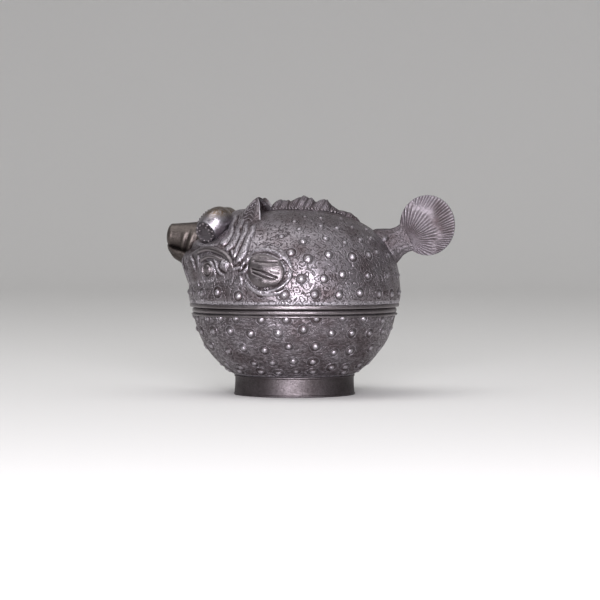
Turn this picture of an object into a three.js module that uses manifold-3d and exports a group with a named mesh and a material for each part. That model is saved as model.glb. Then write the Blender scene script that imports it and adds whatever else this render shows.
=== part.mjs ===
// A silver lime container: a round lidded box in the form of a spiny, puffed-up beast-fish.
// The bowl stands on a foot ring. The lid carries the head, two leaf-shaped side fins, a crest and a fan
// tail, and lifts straight off the collar inside the bowl's rim.
// Millimetres, +Z up, head towards -X, tail towards +X. The origin is under the middle of the overall
// length, on the surface that the foot stands on.
import * as THREE from 'three';
import { mergeVertices } from 'three/addons/utils/BufferGeometryUtils.js';
import Module from 'manifold-3d';

const wasm = await Module();
wasm.setup();

// Foot and bowl
const footHeight = 5.9;
const footTopRadius = 17.6;
const footFlare = 0.3; // gained in radius at the base
const footWall = 1;
const bowlRadius = 30;
const bowlDepth = 18.3; // from the top of the foot to the top edge of the bowl
const bowlLip = 2.2; // the bowl's outline would be widest this far above its top edge
const bowlWall = 1;
const bowlSag = 3.1; // how far the middle of the bowl hangs below the top of the foot

// Rim mouldings, and the collar that the lid seats on
const beadRadius = 0.35;
const bandHeight = 1.8;
const bandProud = 0.3;
const collarWall = 0.8;
const collarDrop = 4; // below the top of the band
const collarRise = 3.2; // above the top of the band
const solderGap = 0.1; // between a ring and the wall it is soldered to
const slidingGap = 0.15; // radial play of the lid on the collar

// Lid
const lidOverhang = 1.4; // of the lid's widest line past the bowl's
const lidWall = 1;
const lidRimHeight = 1.2;
const lidRimTuck = 0.4; // radius lost from the widest line down to the rim
const lidSkirt = 2.8; // from the rim strip up to the widest line
const lidRise = 24.7; // from the widest line up to the crown
const lidSquareness = 2.4; // exponent of the lid's outline, where 2 is an ellipse

// Raised bosses, in rows round the wall
const bossRadius = 0.95;
const bossHeight = 0.65;
const bossSides = 6;
const bossesPerRow = 24;
const rowPitch = 5.5; // along the wall's outline, from row to row

// Head
const snoutLength = 13.3; // from the lid's wall to the tip
const snoutDrop = 7.4; // of the snout's tip below the crown
const snoutTipRadius = 3.1;
const snoutRootRadius = 5.3;
const snoutRise = 1.7; // of the tip over the root
const faceDrop = 8; // of the mask's middle below the snout
const faceInset = 5.4; // of the mask's side edges inside the lid's widest line
const faceHeight = 17.4;
const faceDepth = 18; // of the mask's rounded front
const faceProud = 2.6; // of its middle over the lid's widest line
const domeLength = 12; // along its slant, from low in front to high behind
const domeWidth = 14.4;
const domeHeight = 9.8;
const domeSlant = 42; // degrees
const domeSetback = 8.6; // of the domes' middles behind the lid's widest line
const domeSpread = 9.2; // of each dome's middle from the middle of the head
const domeLift = 2.3; // of each dome's middle above the lid's wall
const discRadius = 2.8; // of the flat round pressed into the side of each dome
const discReach = 6.3; // from the dome's middle out to the flat
const discTurn = 68; // degrees that it faces away from straight ahead
const discDip = 18; // degrees that it faces downward
const eyeWidth = 4.8;
const eyeHeight = 4.8;
const eyeInset = 3.4; // of the eye's middle in from the mask's edge
const eyeLift = 10.3; // of the eye's middle above the lid's edge
const eyeProud = 0.9;
const browRise = 5.5; // of the brow's top over the eye's middle
const browLength = 17; // round the wall, from its front end to its curled end
const browThickness = 2.2;
const earHeight = 3.6; // of the tip over the crown
const earLength = 9;
const earWidth = 14.8;
const earSheet = 1;
const earLean = 1.6; // of the tip in front of the open back
const earSetback = 23; // of the ears' open backs behind the lid's widest line
const earSpread = 9.8; // of each ear's middle from the middle of the head

// Fins, crest and tail
const finLength = 12.4;
const finWidth = 9.6;
const finBulge = 1.9;
const finSetback = 20.95; // of the fin's middle behind the eye's, round the wall
const finLift = 9.7; // of the fin's middle above the lid's edge
const crestLength = 26.5;
const crestSetback = 23.9; // of the crest's front end behind the lid's widest line
const crestWidth = 4.4;
const crestHeight = 4;
const stalkWidth = 12.4; // where it leaves the lid, seen from the side
const stalkWaist = 8.1; // at its narrowest, just before the fan
const stalkThickness = 2.8; // at the waist, across the fan
const fanReach = 16.5; // from the lid's widest line out to the fan's far edge
const fanWidth = 16.6;
const fanHeight = 18;
const fanDrop = 4.6; // of the fan's middle below the crown
const fanThickness = 0.9;
const fanRibs = 40;
const ribDepth = 0.18;

const roundSegments = 38;
const seamGap = 0.25; // between an applied piece and the wall under it

// Heights above the table, and the lid's radius, which follows the bowl's
const footTop = footHeight;
const bowlTop = footTop + bowlDepth;
const seam = bowlTop + bandHeight;
const lidRadius = bowlRadius + lidOverhang;
const lidEdge = seam + lidRimHeight;
const lidWidest = lidEdge + lidSkirt;
const crown = lidWidest + lidRise;

const toRadians = (degrees) => (degrees * Math.PI) / 180;
const vector = (x, y, z) => new THREE.Vector3(x, y, z);

// Turns a three.js geometry into a solid with merged vertices and no collapsed triangles.
function solidOf(geometry) {
  const bare = geometry.clone();
  bare.deleteAttribute('normal');
  bare.deleteAttribute('uv');
  const merged = mergeVertices(bare, 1e-4);
  const index = merged.index.array;
  const triVerts = [];
  for (let i = 0; i < index.length; i += 3) {
    const [a, b, c] = [index[i], index[i + 1], index[i + 2]];
    if (a !== b && b !== c && c !== a) triVerts.push(a, b, c);
  }
  return new wasm.Manifold(new wasm.Mesh({
    numProp: 3,
    vertProperties: merged.attributes.position.array,
    triVerts: new Uint32Array(triVerts),
  }));
}

function geometryOf(solid) {
  const mesh = solid.getMesh();
  const geometry = new THREE.BufferGeometry();
  geometry.setAttribute('position', new THREE.BufferAttribute(mesh.vertProperties, 3));
  geometry.setIndex(new THREE.BufferAttribute(mesh.triVerts, 1));
  geometry.computeVertexNormals();
  return geometry;
}

// Drops the slivers that a cut can leave beside the piece itself.
function mainBody(solid) {
  return solid.decompose().reduce((most, body) => (body.volume() > most.volume() ? body : most));
}

const mirrored = (solid) => solid.mirror([0, 1, 0]);

// A solid of revolution about the body's axis, from [radius, height] points that go up its outside.
function turned(points, segments = roundSegments) {
  const profile = points.map(([radius, height]) => new THREE.Vector2(radius, height));
  const geometry = new THREE.LatheGeometry(profile, segments);
  geometry.rotateX(Math.PI / 2);
  return solidOf(geometry);
}

// A closed skin over rings of points, one ring to a section, with flat ends.
function loft(rings) {
  const sides = rings[0].length;
  const faces = [];
  for (let i = 0; i < rings.length - 1; i += 1) {
    for (let j = 0; j < sides; j += 1) {
      const a = i * sides + j;
      const b = i * sides + ((j + 1) % sides);
      faces.push(a, b, b + sides, a, b + sides, a + sides);
    }
  }
  const last = (rings.length - 1) * sides;
  for (let j = 1; j < sides - 1; j += 1) {
    faces.push(0, j + 1, j);
    faces.push(last, last + j, last + j + 1);
  }
  const geometry = new THREE.BufferGeometry().setFromPoints(rings.flat());
  geometry.setIndex(faces);
  const solid = solidOf(geometry);
  if (solid.volume() > 0) return solid;
  geometry.setIndex(faces.reverse());
  return solidOf(geometry);
}

// An oval section: its middle, and its half widths as two vectors square to the path.
function oval(middle, across, along, sides) {
  const points = [];
  for (let j = 0; j < sides; j += 1) {
    const angle = (2 * Math.PI * j) / sides;
    const point = middle.clone().addScaledVector(across, Math.cos(angle));
    points.push(point.addScaledVector(along, Math.sin(angle)));
  }
  return points;
}

// A closed tube along a smooth line through points, whose radius changes along it.
function taperedTube(points, radiusAt, steps, sides = 6) {
  const curve = new THREE.CatmullRomCurve3(points);
  const frames = curve.computeFrenetFrames(steps, false);
  const rings = [];
  for (let i = 0; i <= steps; i += 1) {
    const radius = radiusAt(i / steps);
    const across = frames.normals[i].clone().multiplyScalar(radius);
    const along = frames.binormals[i].clone().multiplyScalar(radius);
    rings.push(oval(curve.getPointAt(i / steps), across, along, sides));
  }
  return loft(rings);
}

// A squashed ball: half sizes, a tilt about Y, then its middle.
function ellipsoid(halves, middle, tilt = 0, detail = [16, 10]) {
  const geometry = new THREE.SphereGeometry(1, ...detail);
  geometry.scale(...halves);
  geometry.rotateY(tilt);
  geometry.translate(...middle);
  return solidOf(geometry);
}

// The bowl's outside is part of an ellipse, widest above the rim, that passes through the foot's top edge.
const bowlWidest = bowlTop + bowlLip;
const bowlEllipse = (bowlWidest - footTop) / Math.sqrt(1 - (footTopRadius / bowlRadius) ** 2);
function bowlRadiusAt(height, inset = 0) {
  const share = Math.min(1, (bowlWidest - height) / (bowlEllipse - inset));
  return (bowlRadius - inset) * Math.sqrt(1 - share ** 2);
}

// From the middle of the bowl's floor, out and up to its top edge; inset is the depth inside the outside.
function bowlOutline(inset, steps) {
  const bendRadius = footTopRadius - inset / 2;
  const bendShare = Math.sqrt(1 - (bendRadius / (bowlRadius - inset)) ** 2);
  const bendHeight = bowlWidest - (bowlEllipse - inset) * bendShare;
  const floor = footTop - bowlSag + inset;
  const floorSteps = 2;
  const points = [];
  for (let i = 0; i < floorSteps; i += 1) {
    const share = i / floorSteps;
    points.push([bendRadius * share, floor + (bendHeight - floor) * share ** 2]);
  }
  for (let i = 0; i <= steps; i += 1) {
    const height = bendHeight + ((bowlTop - bendHeight) * i) / steps;
    points.push([bowlRadiusAt(height, inset), height]);
  }
  return points;
}

// The lid's outside is a squared ellipse above its widest line and tucks in slightly below it.
function lidRadiusAt(height, offset = 0) {
  const wide = lidRadius + offset;
  if (height <= lidWidest) return wide - lidRimTuck * ((lidWidest - height) / lidSkirt) ** 2;
  const share = Math.min(1, (height - lidWidest) / (lidRise + offset));
  return wide * (1 - share ** lidSquareness) ** (1 / lidSquareness);
}

function lidHeightAt(radius, offset = 0) {
  const share = Math.min(1, radius / (lidRadius + offset));
  return lidWidest + (lidRise + offset) * (1 - share ** lidSquareness) ** (1 / lidSquareness);
}

// From the lid's edge up to the crown.
function lidOutline(offset, steps) {
  const points = [[lidRadiusAt(lidEdge, offset), lidEdge]];
  for (let i = 0; i < steps; i += 1) {
    const angle = (i / steps) * (Math.PI / 2);
    const power = 2 / lidSquareness;
    const radius = (lidRadius + offset) * Math.cos(angle) ** power;
    points.push([radius, lidWidest + (lidRise + offset) * Math.sin(angle) ** power]);
  }
  points.push([0, crown + offset]);
  return points;
}

// Maps a shape that faces +Z at the origin onto a turned wall. Bearing is degrees from +X towards +Y. The
// shape's +X then runs level round the wall, anticlockwise from above, and its +Y runs up the wall.
function onWall(radiusAt, bearing, height) {
  const step = 0.3;
  const up = vector(radiusAt(height + step) - radiusAt(height - step), 0, 2 * step).normalize();
  const level = vector(0, 1, 0);
  const out = vector().crossVectors(level, up);
  const place = new THREE.Matrix4().makeBasis(level, up, out).setPosition(radiusAt(height), 0, height);
  return new THREE.Matrix4().makeRotationZ(toRadians(bearing)).multiply(place);
}
const onLid = (bearing, height) => onWall(lidRadiusAt, bearing, height);
const placed = (solid, matrix) => solid.transform(matrix.elements);

// What an applied piece on the lid is cut back to: the lid as a solid, grown by the seam gap.
const underLid = turned([[0, seam], [lidRadiusAt(lidEdge, seamGap), seam], ...lidOutline(seamGap, 10)]);

// Foot ring: a plain strip that flares slightly and is cut to the bowl it is soldered under.
function makeFootRing() {
  const outside = [[footFlare, 0], [footFlare, footHeight * 0.12], [0, footHeight * 0.3], [0, footTop]];
  const outer = outside.map(([flare, height]) => [footTopRadius + flare, height]);
  const inner = outer.map(([radius, height]) => [radius - footWall, height]).reverse();
  const strip = turned([...outer, ...inner, outer[0]]);
  const bowlUnderside = turned([...bowlOutline(0, 6), [0, bowlTop]]).translate([0, 0, -seamGap]);
  return strip.subtract(bowlUnderside);
}

// Bosses round one wall: rows a pitch apart, each row turned half a spacing from the one below it.
function bossesOn(radiusAt, firstHeight, topHeight, direction) {
  const sunk = bossHeight * 0.6; // part of the stud inside the wall
  const shoulder = [bossRadius * 0.7, bossHeight * 0.72];
  const stud = turned([[0, -sunk], [bossRadius * 1.15, -sunk], shoulder, [0, bossHeight]], bossSides);
  const bosses = [];
  let height = firstHeight;
  for (let row = 0; (topHeight - height) * direction > 0; row += 1) {
    for (let i = 0; i < bossesPerRow; i += 1) {
      const bearing = ((i + (row % 2) / 2) * 360) / bossesPerRow;
      bosses.push(placed(stud, onWall(radiusAt, bearing, height)));
    }
    const slope = (radiusAt(height + direction) - radiusAt(height)) / direction;
    height += (direction * rowPitch) / Math.hypot(1, slope);
  }
  return bosses;
}

function makeBowlShell() {
  const shell = turned([...bowlOutline(0, 7), ...bowlOutline(bowlWall, 5).reverse()]);
  const bosses = bossesOn(bowlRadiusAt, bowlTop - rowPitch * 0.35, footTop + bossRadius, -1);
  return shell.add(wasm.Manifold.union(bosses));
}

// Bead wire under the band, a six-sided ring.
function makeBeadWire() {
  const middle = bowlRadius + solderGap + beadRadius;
  const points = [];
  for (let i = 0; i <= 6; i += 1) {
    const angle = toRadians(60 * i);
    const [across, rise] = [beadRadius * Math.cos(angle), beadRadius * Math.sin(angle)];
    points.push([middle + across, bowlTop - beadRadius + rise]);
  }
  return turned(points);
}

// The collar stands inside the rim; the band rings it and carries the lid.
const collarFoot = seam - collarDrop;
const collarRadius = bowlRadiusAt(collarFoot, bowlWall) - solderGap;

function makeCollar() {
  const inner = collarRadius - collarWall;
  const top = seam + collarRise;
  const lead = collarWall * 0.4; // chamfer that guides the lid on
  return turned([
    [inner, collarFoot], [collarRadius, collarFoot], [collarRadius, top - lead], [collarRadius - lead, top],
    [inner, top], [inner, collarFoot],
  ]);
}

function makeRimBand() {
  const inner = collarRadius + solderGap;
  const outer = bowlRadius + bandProud;
  const round = bandHeight * 0.28;
  return turned([
    [inner, bowlTop], [outer - round, bowlTop], [outer, bowlTop + round], [outer, seam - round],
    [outer - round, seam], [inner, seam], [inner, bowlTop],
  ]);
}

function makeLidRimStrip() {
  const inner = collarRadius + slidingGap;
  const outer = lidRadius - lidRimTuck;
  return turned([[inner, seam], [outer, seam], [outer, lidEdge], [inner, lidEdge], [inner, seam]]);
}

function makeLidShell(applied) {
  const inside = lidOutline(-lidWall, 7).reverse();
  const shell = turned([...lidOutline(0, 9), ...inside, [lidRadiusAt(lidEdge), lidEdge]]);
  const firstRow = lidEdge + rowPitch * 0.4;
  const bosses = bossesOn(lidRadiusAt, firstRow, crown - rowPitch * 0.35, 1);
  const room = bossRadius * 1.2; // bare wall left beside an applied piece
  const free = bosses.filter((boss) => {
    const box = boss.boundingBox();
    const middle = box.min.map((low, axis) => (low + box.max[axis]) / 2);
    const probe = ellipsoid([bossRadius + room, bossRadius + room, bossRadius + room], middle, 0, [6, 4]);
    return probe.intersect(applied).isEmpty();
  });
  return shell.add(wasm.Manifold.union(free));
}

// Snout: a blunt cone, rising slightly to its tip, with two wrinkle folds near its root.
const snoutHeight = crown - snoutDrop;
const snoutRootX = -lidRadiusAt(snoutHeight);
const snoutTipX = snoutRootX - snoutLength;

function snoutShape(grow = 0) {
  const buried = 4;
  const shape = [
    [-buried, 1.05], [0.1, 1.04], [0.27, 0.89], [0.38, 0.95], [0.47, 0.76], [0.56, 0.81], [0.64, 0.71],
    [0.76, 0.66],
  ];
  const rings = shape.map(([share, size]) => {
    const along = share < 0 ? share : snoutLength * share;
    const middle = vector(snoutRootX - along, 0, snoutHeight - snoutRise * (1 - along / snoutLength));
    const half = snoutRootRadius * size + grow;
    return oval(middle, vector(0, half * 0.94, 0), vector(0, 0, half), 16);
  });
  const tip = [[0.9, 1], [0.97, 0.8], [1, 0.45]];
  tip.forEach(([share, size]) => {
    const middle = vector(snoutRootX - snoutLength * share - grow, 0, snoutHeight);
    const half = snoutTipRadius * size + grow;
    rings.push(oval(middle, vector(0, half, 0), vector(0, 0, half), 16));
  });
  return loft(rings);
}
const makeSnout = () => mainBody(snoutShape().subtract(underLid));

// Lower jaw: a lip that lies close under the snout from its tip and slopes down into the throat. Each
// station gives the place behind the snout's tip, how far the lip's top and its under side lie below the
// snout, and its half width.
const jawStations = [
  [0, 2.4, 3.4, 0.8], [0.9, 2.7, 5.3, 2.2], [2.1, 3.5, 7, 3], [4.1, 4.2, 8.3, 3.6], [5.7, 4.7, 9.7, 4.2],
  [8.6, 5.3, 11.1, 4.8],
];
function jawShape(grow = 0) {
  const sides = 16;
  const last = jawStations.length - 1;
  return loft(jawStations.map(([back, upper, lower, half], station) => {
    const x = snoutTipX + back + grow * (station === last ? 1 : station === 0 ? -1 : 0);
    const ring = [];
    for (let i = 0; i < sides; i += 1) {
      const angle = (2 * Math.PI * i) / sides;
      const [ahead, rise] = [Math.cos(angle), Math.sin(angle)];
      const depth = rise > 0 ? 0.5 + grow : lower - upper + grow;
      ring.push(vector(x, (half + grow) * ahead, snoutHeight - upper + depth * rise));
    }
    return ring;
  }));
}
const makeJaw = () => mainBody(jawShape().subtract(snoutShape(seamGap)).subtract(underLid));

// Brow domes: a pair of rounded bulges behind the snout that slant up and back, each with a flat round
// pressed into its side.
function domeShape(grow = 0) {
  const reach = lidRadius - domeSetback;
  const level = lidHeightAt(Math.hypot(reach, domeSpread)) + domeLift;
  const halves = [domeLength / 2 + grow, domeWidth / 2 + grow, domeHeight / 2 + grow];
  const ball = ellipsoid(halves, [0, 0, 0], -toRadians(domeSlant), [18, 12]);
  const press = new THREE.CylinderGeometry(discRadius - grow, discRadius - grow, domeWidth, 14);
  press.rotateZ(Math.PI / 2);
  press.translate(-(discReach + grow + domeWidth / 2), 0, 0);
  const side = domeWidth * 2;
  const ownSide = solidOf(new THREE.BoxGeometry(side, side, side))
    .translate([0, domeSpread + grow - (side + seamGap) / 2, 0]);
  const dome = ball.subtract(solidOf(press).rotate([0, -discDip, discTurn])).intersect(ownSide);
  return dome.translate([-reach, -domeSpread, level]);
}
const makeBrowDome = () => mainBody(domeShape().subtract(snoutShape(seamGap)).subtract(underLid));

// Face mask: the cheeks and throat, a rounded plate over the lid's front that the head's pieces stand on.
const faceBack = lidRadius + faceProud - faceDepth; // from the lid's axis to the mask's middle
const faceHalfWidth = lidRadius - faceInset;
const faceMiddle = snoutHeight - faceDrop;

function faceShape(grow = 0) {
  const halves = [faceDepth + grow, faceHalfWidth + grow, faceHeight / 2 + grow];
  return ellipsoid(halves, [-faceBack, 0, faceMiddle], 0, [24, 12]);
}

// Distance from the lid's axis out to the mask, or to the lid where the mask doesn't reach.
function headRadiusAt(turn, height) {
  const [ahead, aside] = [Math.cos(toRadians(turn)), Math.sin(toRadians(turn))];
  const room = 1 - ((height - faceMiddle) / (faceHeight / 2)) ** 2;
  const square = (ahead / faceDepth) ** 2 + (aside / faceHalfWidth) ** 2;
  const half = (ahead * faceBack) / faceDepth ** 2;
  const inside = half ** 2 - square * ((faceBack / faceDepth) ** 2 - room);
  const face = inside > 0 ? (half + Math.sqrt(inside)) / square : 0;
  return Math.max(lidRadiusAt(height), face);
}
const onHead = (turn, height) => onWall((level) => headRadiusAt(turn, level), 180 + turn, height);

// Eye: an oval ring round a raised pupil, set in the cheek.
const eyeLevel = lidEdge + eyeLift;
const eyeAside = faceHalfWidth - eyeInset;
const eyeAhead = faceBack + faceDepth * Math.sqrt(1 - (eyeAside / faceHalfWidth) ** 2);
const eyeRadius = Math.hypot(eyeAside, eyeAhead);
const toDegrees = (radians) => (radians * 180) / Math.PI;
const eyeTurn = toDegrees(Math.atan2(eyeAside, eyeAhead)); // round from the middle of the head

function eyeShape(grow = 0) {
  const depth = faceProud + grow;
  const profile = [
    [0, -depth], [1, -depth], [1, eyeProud * 0.4], [0.82, eyeProud * 0.8],
    [0.62, eyeProud * 0.3], [0.5, eyeProud * 0.4], [0.3, eyeProud * 0.8], [0, eyeProud],
  ];
  const eye = turned(profile, 14).scale([eyeWidth / 2 + grow, eyeHeight / 2 + grow, 1]);
  return placed(eye, onHead(eyeTurn, eyeLevel));
}
const makeEye = () => mainBody(eyeShape().subtract(underLid));

function makeFaceMask() {
  const sides = domeShape(seamGap).add(eyeShape(seamGap));
  const front = snoutShape(seamGap).add(jawShape(seamGap));
  return mainBody(faceShape().subtract(underLid).subtract(front).subtract(sides).subtract(mirrored(sides)));
}

// Brow roll: arches over the eye from the muzzle, then curls down and forward behind it. Its route gives
// the way round the wall from the eye's middle towards the fin and the height over it, as shares of the
// brow's length and rise.
function makeBrow() {
  const route = [
    [-0.379, 0.78], [-0.172, 0.95], [0.035, 1], [0.242, 0.93], [0.414, 0.8], [0.518, 0.6], [0.587, 0.35],
    [0.621, 0.05],
  ];
  const points = route.map(([way, rise]) => {
    const turn = eyeTurn + toDegrees((browLength * way) / eyeRadius);
    const spot = onHead(turn, eyeLevel + browRise * rise);
    return vector(0, 0, browThickness * 0.16).applyMatrix4(spot);
  });
  const radiusAt = (share) => (browThickness / 2) * (0.5 + 0.62 * Math.sin(Math.PI * share ** 0.8));
  return mainBody(taperedTube(points, radiusAt, 16).subtract(faceShape(seamGap)).subtract(underLid));
}

// Half cone over a round foot line on the lid, straight across at the back, that runs on into the wall.
function earCone(length, width, back, tipDrop) {
  const rear = earSetback - lidRadius + back;
  const tip = vector(rear - earLean, -earSpread, crown + earHeight - tipDrop);
  const foot = [];
  for (let i = 0; i <= 8; i += 1) {
    const angle = Math.PI * (i / 8 - 0.5);
    const x = rear - length * Math.cos(angle);
    const y = (width / 2) * Math.sin(angle) - earSpread;
    foot.push(vector(x, y, lidHeightAt(Math.hypot(x, y))));
  }
  const bow = [[1.35, 1.1], [1, 1], [0.72, 0.8], [0.42, 0.53], [0.17, 0.24], [0, 0.04]];
  return loft(bow.map(([rise, reach]) => foot.map((point) => {
    const place = tip.clone().lerp(point, reach);
    return place.setZ(tip.z + (point.z - tip.z) * rise);
  })));
}

// Ear: a pointed cup of thick sheet that is open behind.
function makeEar() {
  const hollow = earCone(earLength, earWidth - 2 * earSheet, earSheet, 2.4 * earSheet);
  const cup = earCone(earLength, earWidth, 0, 0).subtract(hollow);
  return mainBody(cup.subtract(domeShape(seamGap)).subtract(underLid));
}

// Side fin: four fluted lobes that spread from a stem on a shallow oval plate.
const finLevel = lidEdge + finLift;
const finTurn = eyeTurn + toDegrees(finSetback / lidRadiusAt(finLevel)); // round from the middle of the head

function makeSideFin() {
  const plate = ellipsoid([finLength / 2, finWidth / 2, finBulge * 0.7], [0, 0, 0], 0, [18, 6]);
  const stem = ellipsoid([2.2, 1.3, finBulge * 0.8], [-finLength / 2 - 1, 0.3, 0], 0, [8, 6]);
  const lobes = [-25, -8, 9, 26].map((turn) => {
    const reach = finLength * 0.43;
    const lobe = ellipsoid([reach, finWidth * 0.135, finBulge], [reach, 0, 0], 0, [8, 6]);
    return lobe.rotate([0, 0, turn]).translate([-finLength * 0.46, 0, 0]);
  });
  const fin = wasm.Manifold.union([plate, stem, ...lobes]).rotate([0, 0, -8]);
  return mainBody(placed(fin, onLid(180 + finTurn, finLevel)).subtract(underLid));
}

// Back crest: a narrow ridge along the spine with three leaning humps.
function makeCrest() {
  const humps = [
    [0, 0.1], [0.05, 0.42], [0.12, 0.6], [0.17, 0.76], [0.2, 0.74], [0.25, 0.56], [0.31, 0.76], [0.37, 1],
    [0.41, 0.96], [0.46, 0.68], [0.53, 0.8], [0.6, 0.9], [0.63, 0.8], [0.68, 0.46], [0.77, 0.37], [0.9, 0.3],
    [1, 0.02],
  ];
  const topline = humps.map(([share, rise]) => {
    const x = crestLength * share + crestSetback - lidRadius;
    const wall = lidHeightAt(Math.abs(x));
    return [x, wall - lidWall, wall + crestHeight * rise];
  });
  const rings = topline.map(([x, bottom, top], i) => {
    const half = (crestWidth / 2) * (0.55 + 0.45 * Math.sin((Math.PI * i) / (topline.length - 1)));
    const shoulder = bottom + (top - bottom) * 0.6;
    const side = [[1, bottom - crestHeight], [1, shoulder], [0.4, top]];
    const right = side.map(([width, z]) => vector(x, half * width, z));
    const left = side.map(([width, z]) => vector(x, -half * width, z)).reverse();
    return [...right, ...left];
  });
  return mainBody(loft(rings).subtract(underLid));
}

// Tail fan: an upright ribbed disc whose ribs spread from the end of the stalk.
const fanMiddle = vector(lidRadius + fanReach - fanWidth / 2, 0, crown - fanDrop);
const fanRoot = vector(fanMiddle.x - fanWidth * 0.38, 0, fanMiddle.z - fanHeight * 0.27);

function fanEdge(angle) {
  const [a, b] = [fanWidth / 2, fanHeight / 2];
  const dx = Math.cos(angle) / a;
  const dz = Math.sin(angle) / b;
  const px = (fanRoot.x - fanMiddle.x) / a;
  const pz = (fanRoot.z - fanMiddle.z) / b;
  const half = px * dx + pz * dz;
  const square = dx * dx + dz * dz;
  return (-half + Math.sqrt(half * half - square * (px * px + pz * pz - 1))) / square;
}

function makeFan() {
  const spokes = fanRibs * 2;
  const half = fanThickness / 2;
  const shares = [0.5, 1];
  const points = [fanRoot.clone().setY(-half), fanRoot.clone().setY(half)];
  for (const side of [-1, 1]) {
    for (const share of shares) {
      for (let i = 0; i < spokes; i += 1) {
        const angle = (2 * Math.PI * i) / spokes;
        const reach = fanEdge(angle) * share;
        const rib = (i % 2) * ribDepth * share;
        const x = fanRoot.x + reach * Math.cos(angle);
        const z = fanRoot.z + reach * Math.sin(angle);
        points.push(vector(x, side * (half - rib), z));
      }
    }
  }
  const faces = [];
  const at = (face, row, i) => 2 + (face * shares.length + row) * spokes + (i % spokes);
  for (let i = 0; i < spokes; i += 1) {
    for (const face of [0, 1]) {
      const turn = (a, b, c) => (face ? faces.push(a, c, b) : faces.push(a, b, c));
      turn(face, at(face, 0, i), at(face, 0, i + 1));
      for (let row = 0; row < shares.length - 1; row += 1) {
        turn(at(face, row, i), at(face, row + 1, i), at(face, row + 1, i + 1));
        turn(at(face, row, i), at(face, row + 1, i + 1), at(face, row, i + 1));
      }
    }
    const rim = shares.length - 1;
    faces.push(at(0, rim, i), at(1, rim, i), at(1, rim, i + 1));
    faces.push(at(0, rim, i), at(1, rim, i + 1), at(0, rim, i + 1));
  }
  const geometry = new THREE.BufferGeometry().setFromPoints(points);
  geometry.setIndex(faces);
  return solidOf(geometry);
}

// Tail stalk: a short neck that flattens to clasp the fan's root.
function makeStalk() {
  const start = vector(lidRadius * 0.68, 0, fanRoot.z - 4.4);
  const end = vector(fanRoot.x + 0.5, 0, fanRoot.z + 1.6);
  const path = end.clone().sub(start);
  const along = path.clone().normalize();
  const across = vector(-along.z, 0, along.x);
  const shape = [
    [0, 1.15, 3.4], [0.45, 1, 2.3], [0.58, 0.63, 1.8], [0.73, 0.09, 1.35], [0.86, 0, 1.1], [1, 0.2, 1],
  ];
  const rings = shape.map(([share, widen, thicken]) => {
    const half = (stalkWaist + (stalkWidth - stalkWaist) * widen) / 2;
    const thick = (stalkThickness / 2) * thicken;
    const middle = start.clone().addScaledVector(path, share);
    return oval(middle, across.clone().multiplyScalar(half), vector(0, thick, 0), 14);
  });
  const slotLength = fanWidth + seamGap;
  const slot = solidOf(new THREE.BoxGeometry(slotLength, fanThickness + 2 * seamGap, fanHeight * 2));
  const slotMiddle = [fanMiddle.x - seamGap + slotLength / 2 - fanWidth / 2, 0, fanMiddle.z];
  return mainBody(loft(rings).subtract(slot.translate(slotMiddle)).subtract(underLid));
}

const silver = { color: 0x8f8580, roughness: 0.38, metalness: 1 };
const worn = { color: 0xa39a96, roughness: 0.3, metalness: 1 };
const gilt = { color: 0x86755c, roughness: 0.36, metalness: 1 };

function piece(name, solid, look) {
  const mesh = new THREE.Mesh(geometryOf(solid), new THREE.MeshStandardMaterial(look));
  mesh.name = name;
  return mesh;
}

// The origin is midway between the snout's tip and the fan's far edge.
const model = new THREE.Group();
model.position.x = -(snoutTipX + lidRadius + fanReach) / 2;

const bowl = new THREE.Group();
bowl.add(
  piece('bowl_shell', makeBowlShell(), silver),
  piece('foot_ring', makeFootRing(), worn),
  piece('bowl_bead_wire', makeBeadWire(), worn),
  piece('bowl_rim_band', makeRimBand(), worn),
  piece('seating_collar', makeCollar(), worn),
);

const applied = {
  face_mask: [makeFaceMask(), silver],
  snout: [makeSnout(), gilt],
  lower_jaw: [makeJaw(), gilt],
  eye_left: [makeEye(), worn],
  eye_right: [mirrored(makeEye()), worn],
  brow_left: [makeBrow(), silver],
  brow_right: [mirrored(makeBrow()), silver],
  brow_dome_left: [makeBrowDome(), worn],
  brow_dome_right: [mirrored(makeBrowDome()), worn],
  ear_left: [makeEar(), silver],
  ear_right: [mirrored(makeEar()), silver],
  side_fin_left: [makeSideFin(), worn],
  side_fin_right: [mirrored(makeSideFin()), worn],
  back_crest: [makeCrest(), silver],
  tail_stalk: [makeStalk(), silver],
  tail_fan: [makeFan(), worn],
};
const appliedSolid = wasm.Manifold.union(Object.values(applied).map(([solid]) => solid));

const lid = new THREE.Group();
lid.add(
  piece('lid_shell', makeLidShell(appliedSolid), silver),
  piece('lid_rim_strip', makeLidRimStrip(), worn),
);
Object.entries(applied).forEach(([name, [solid, look]]) => lid.add(piece(name, solid, look)));

model.add(bowl, lid);

export default model;
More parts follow.
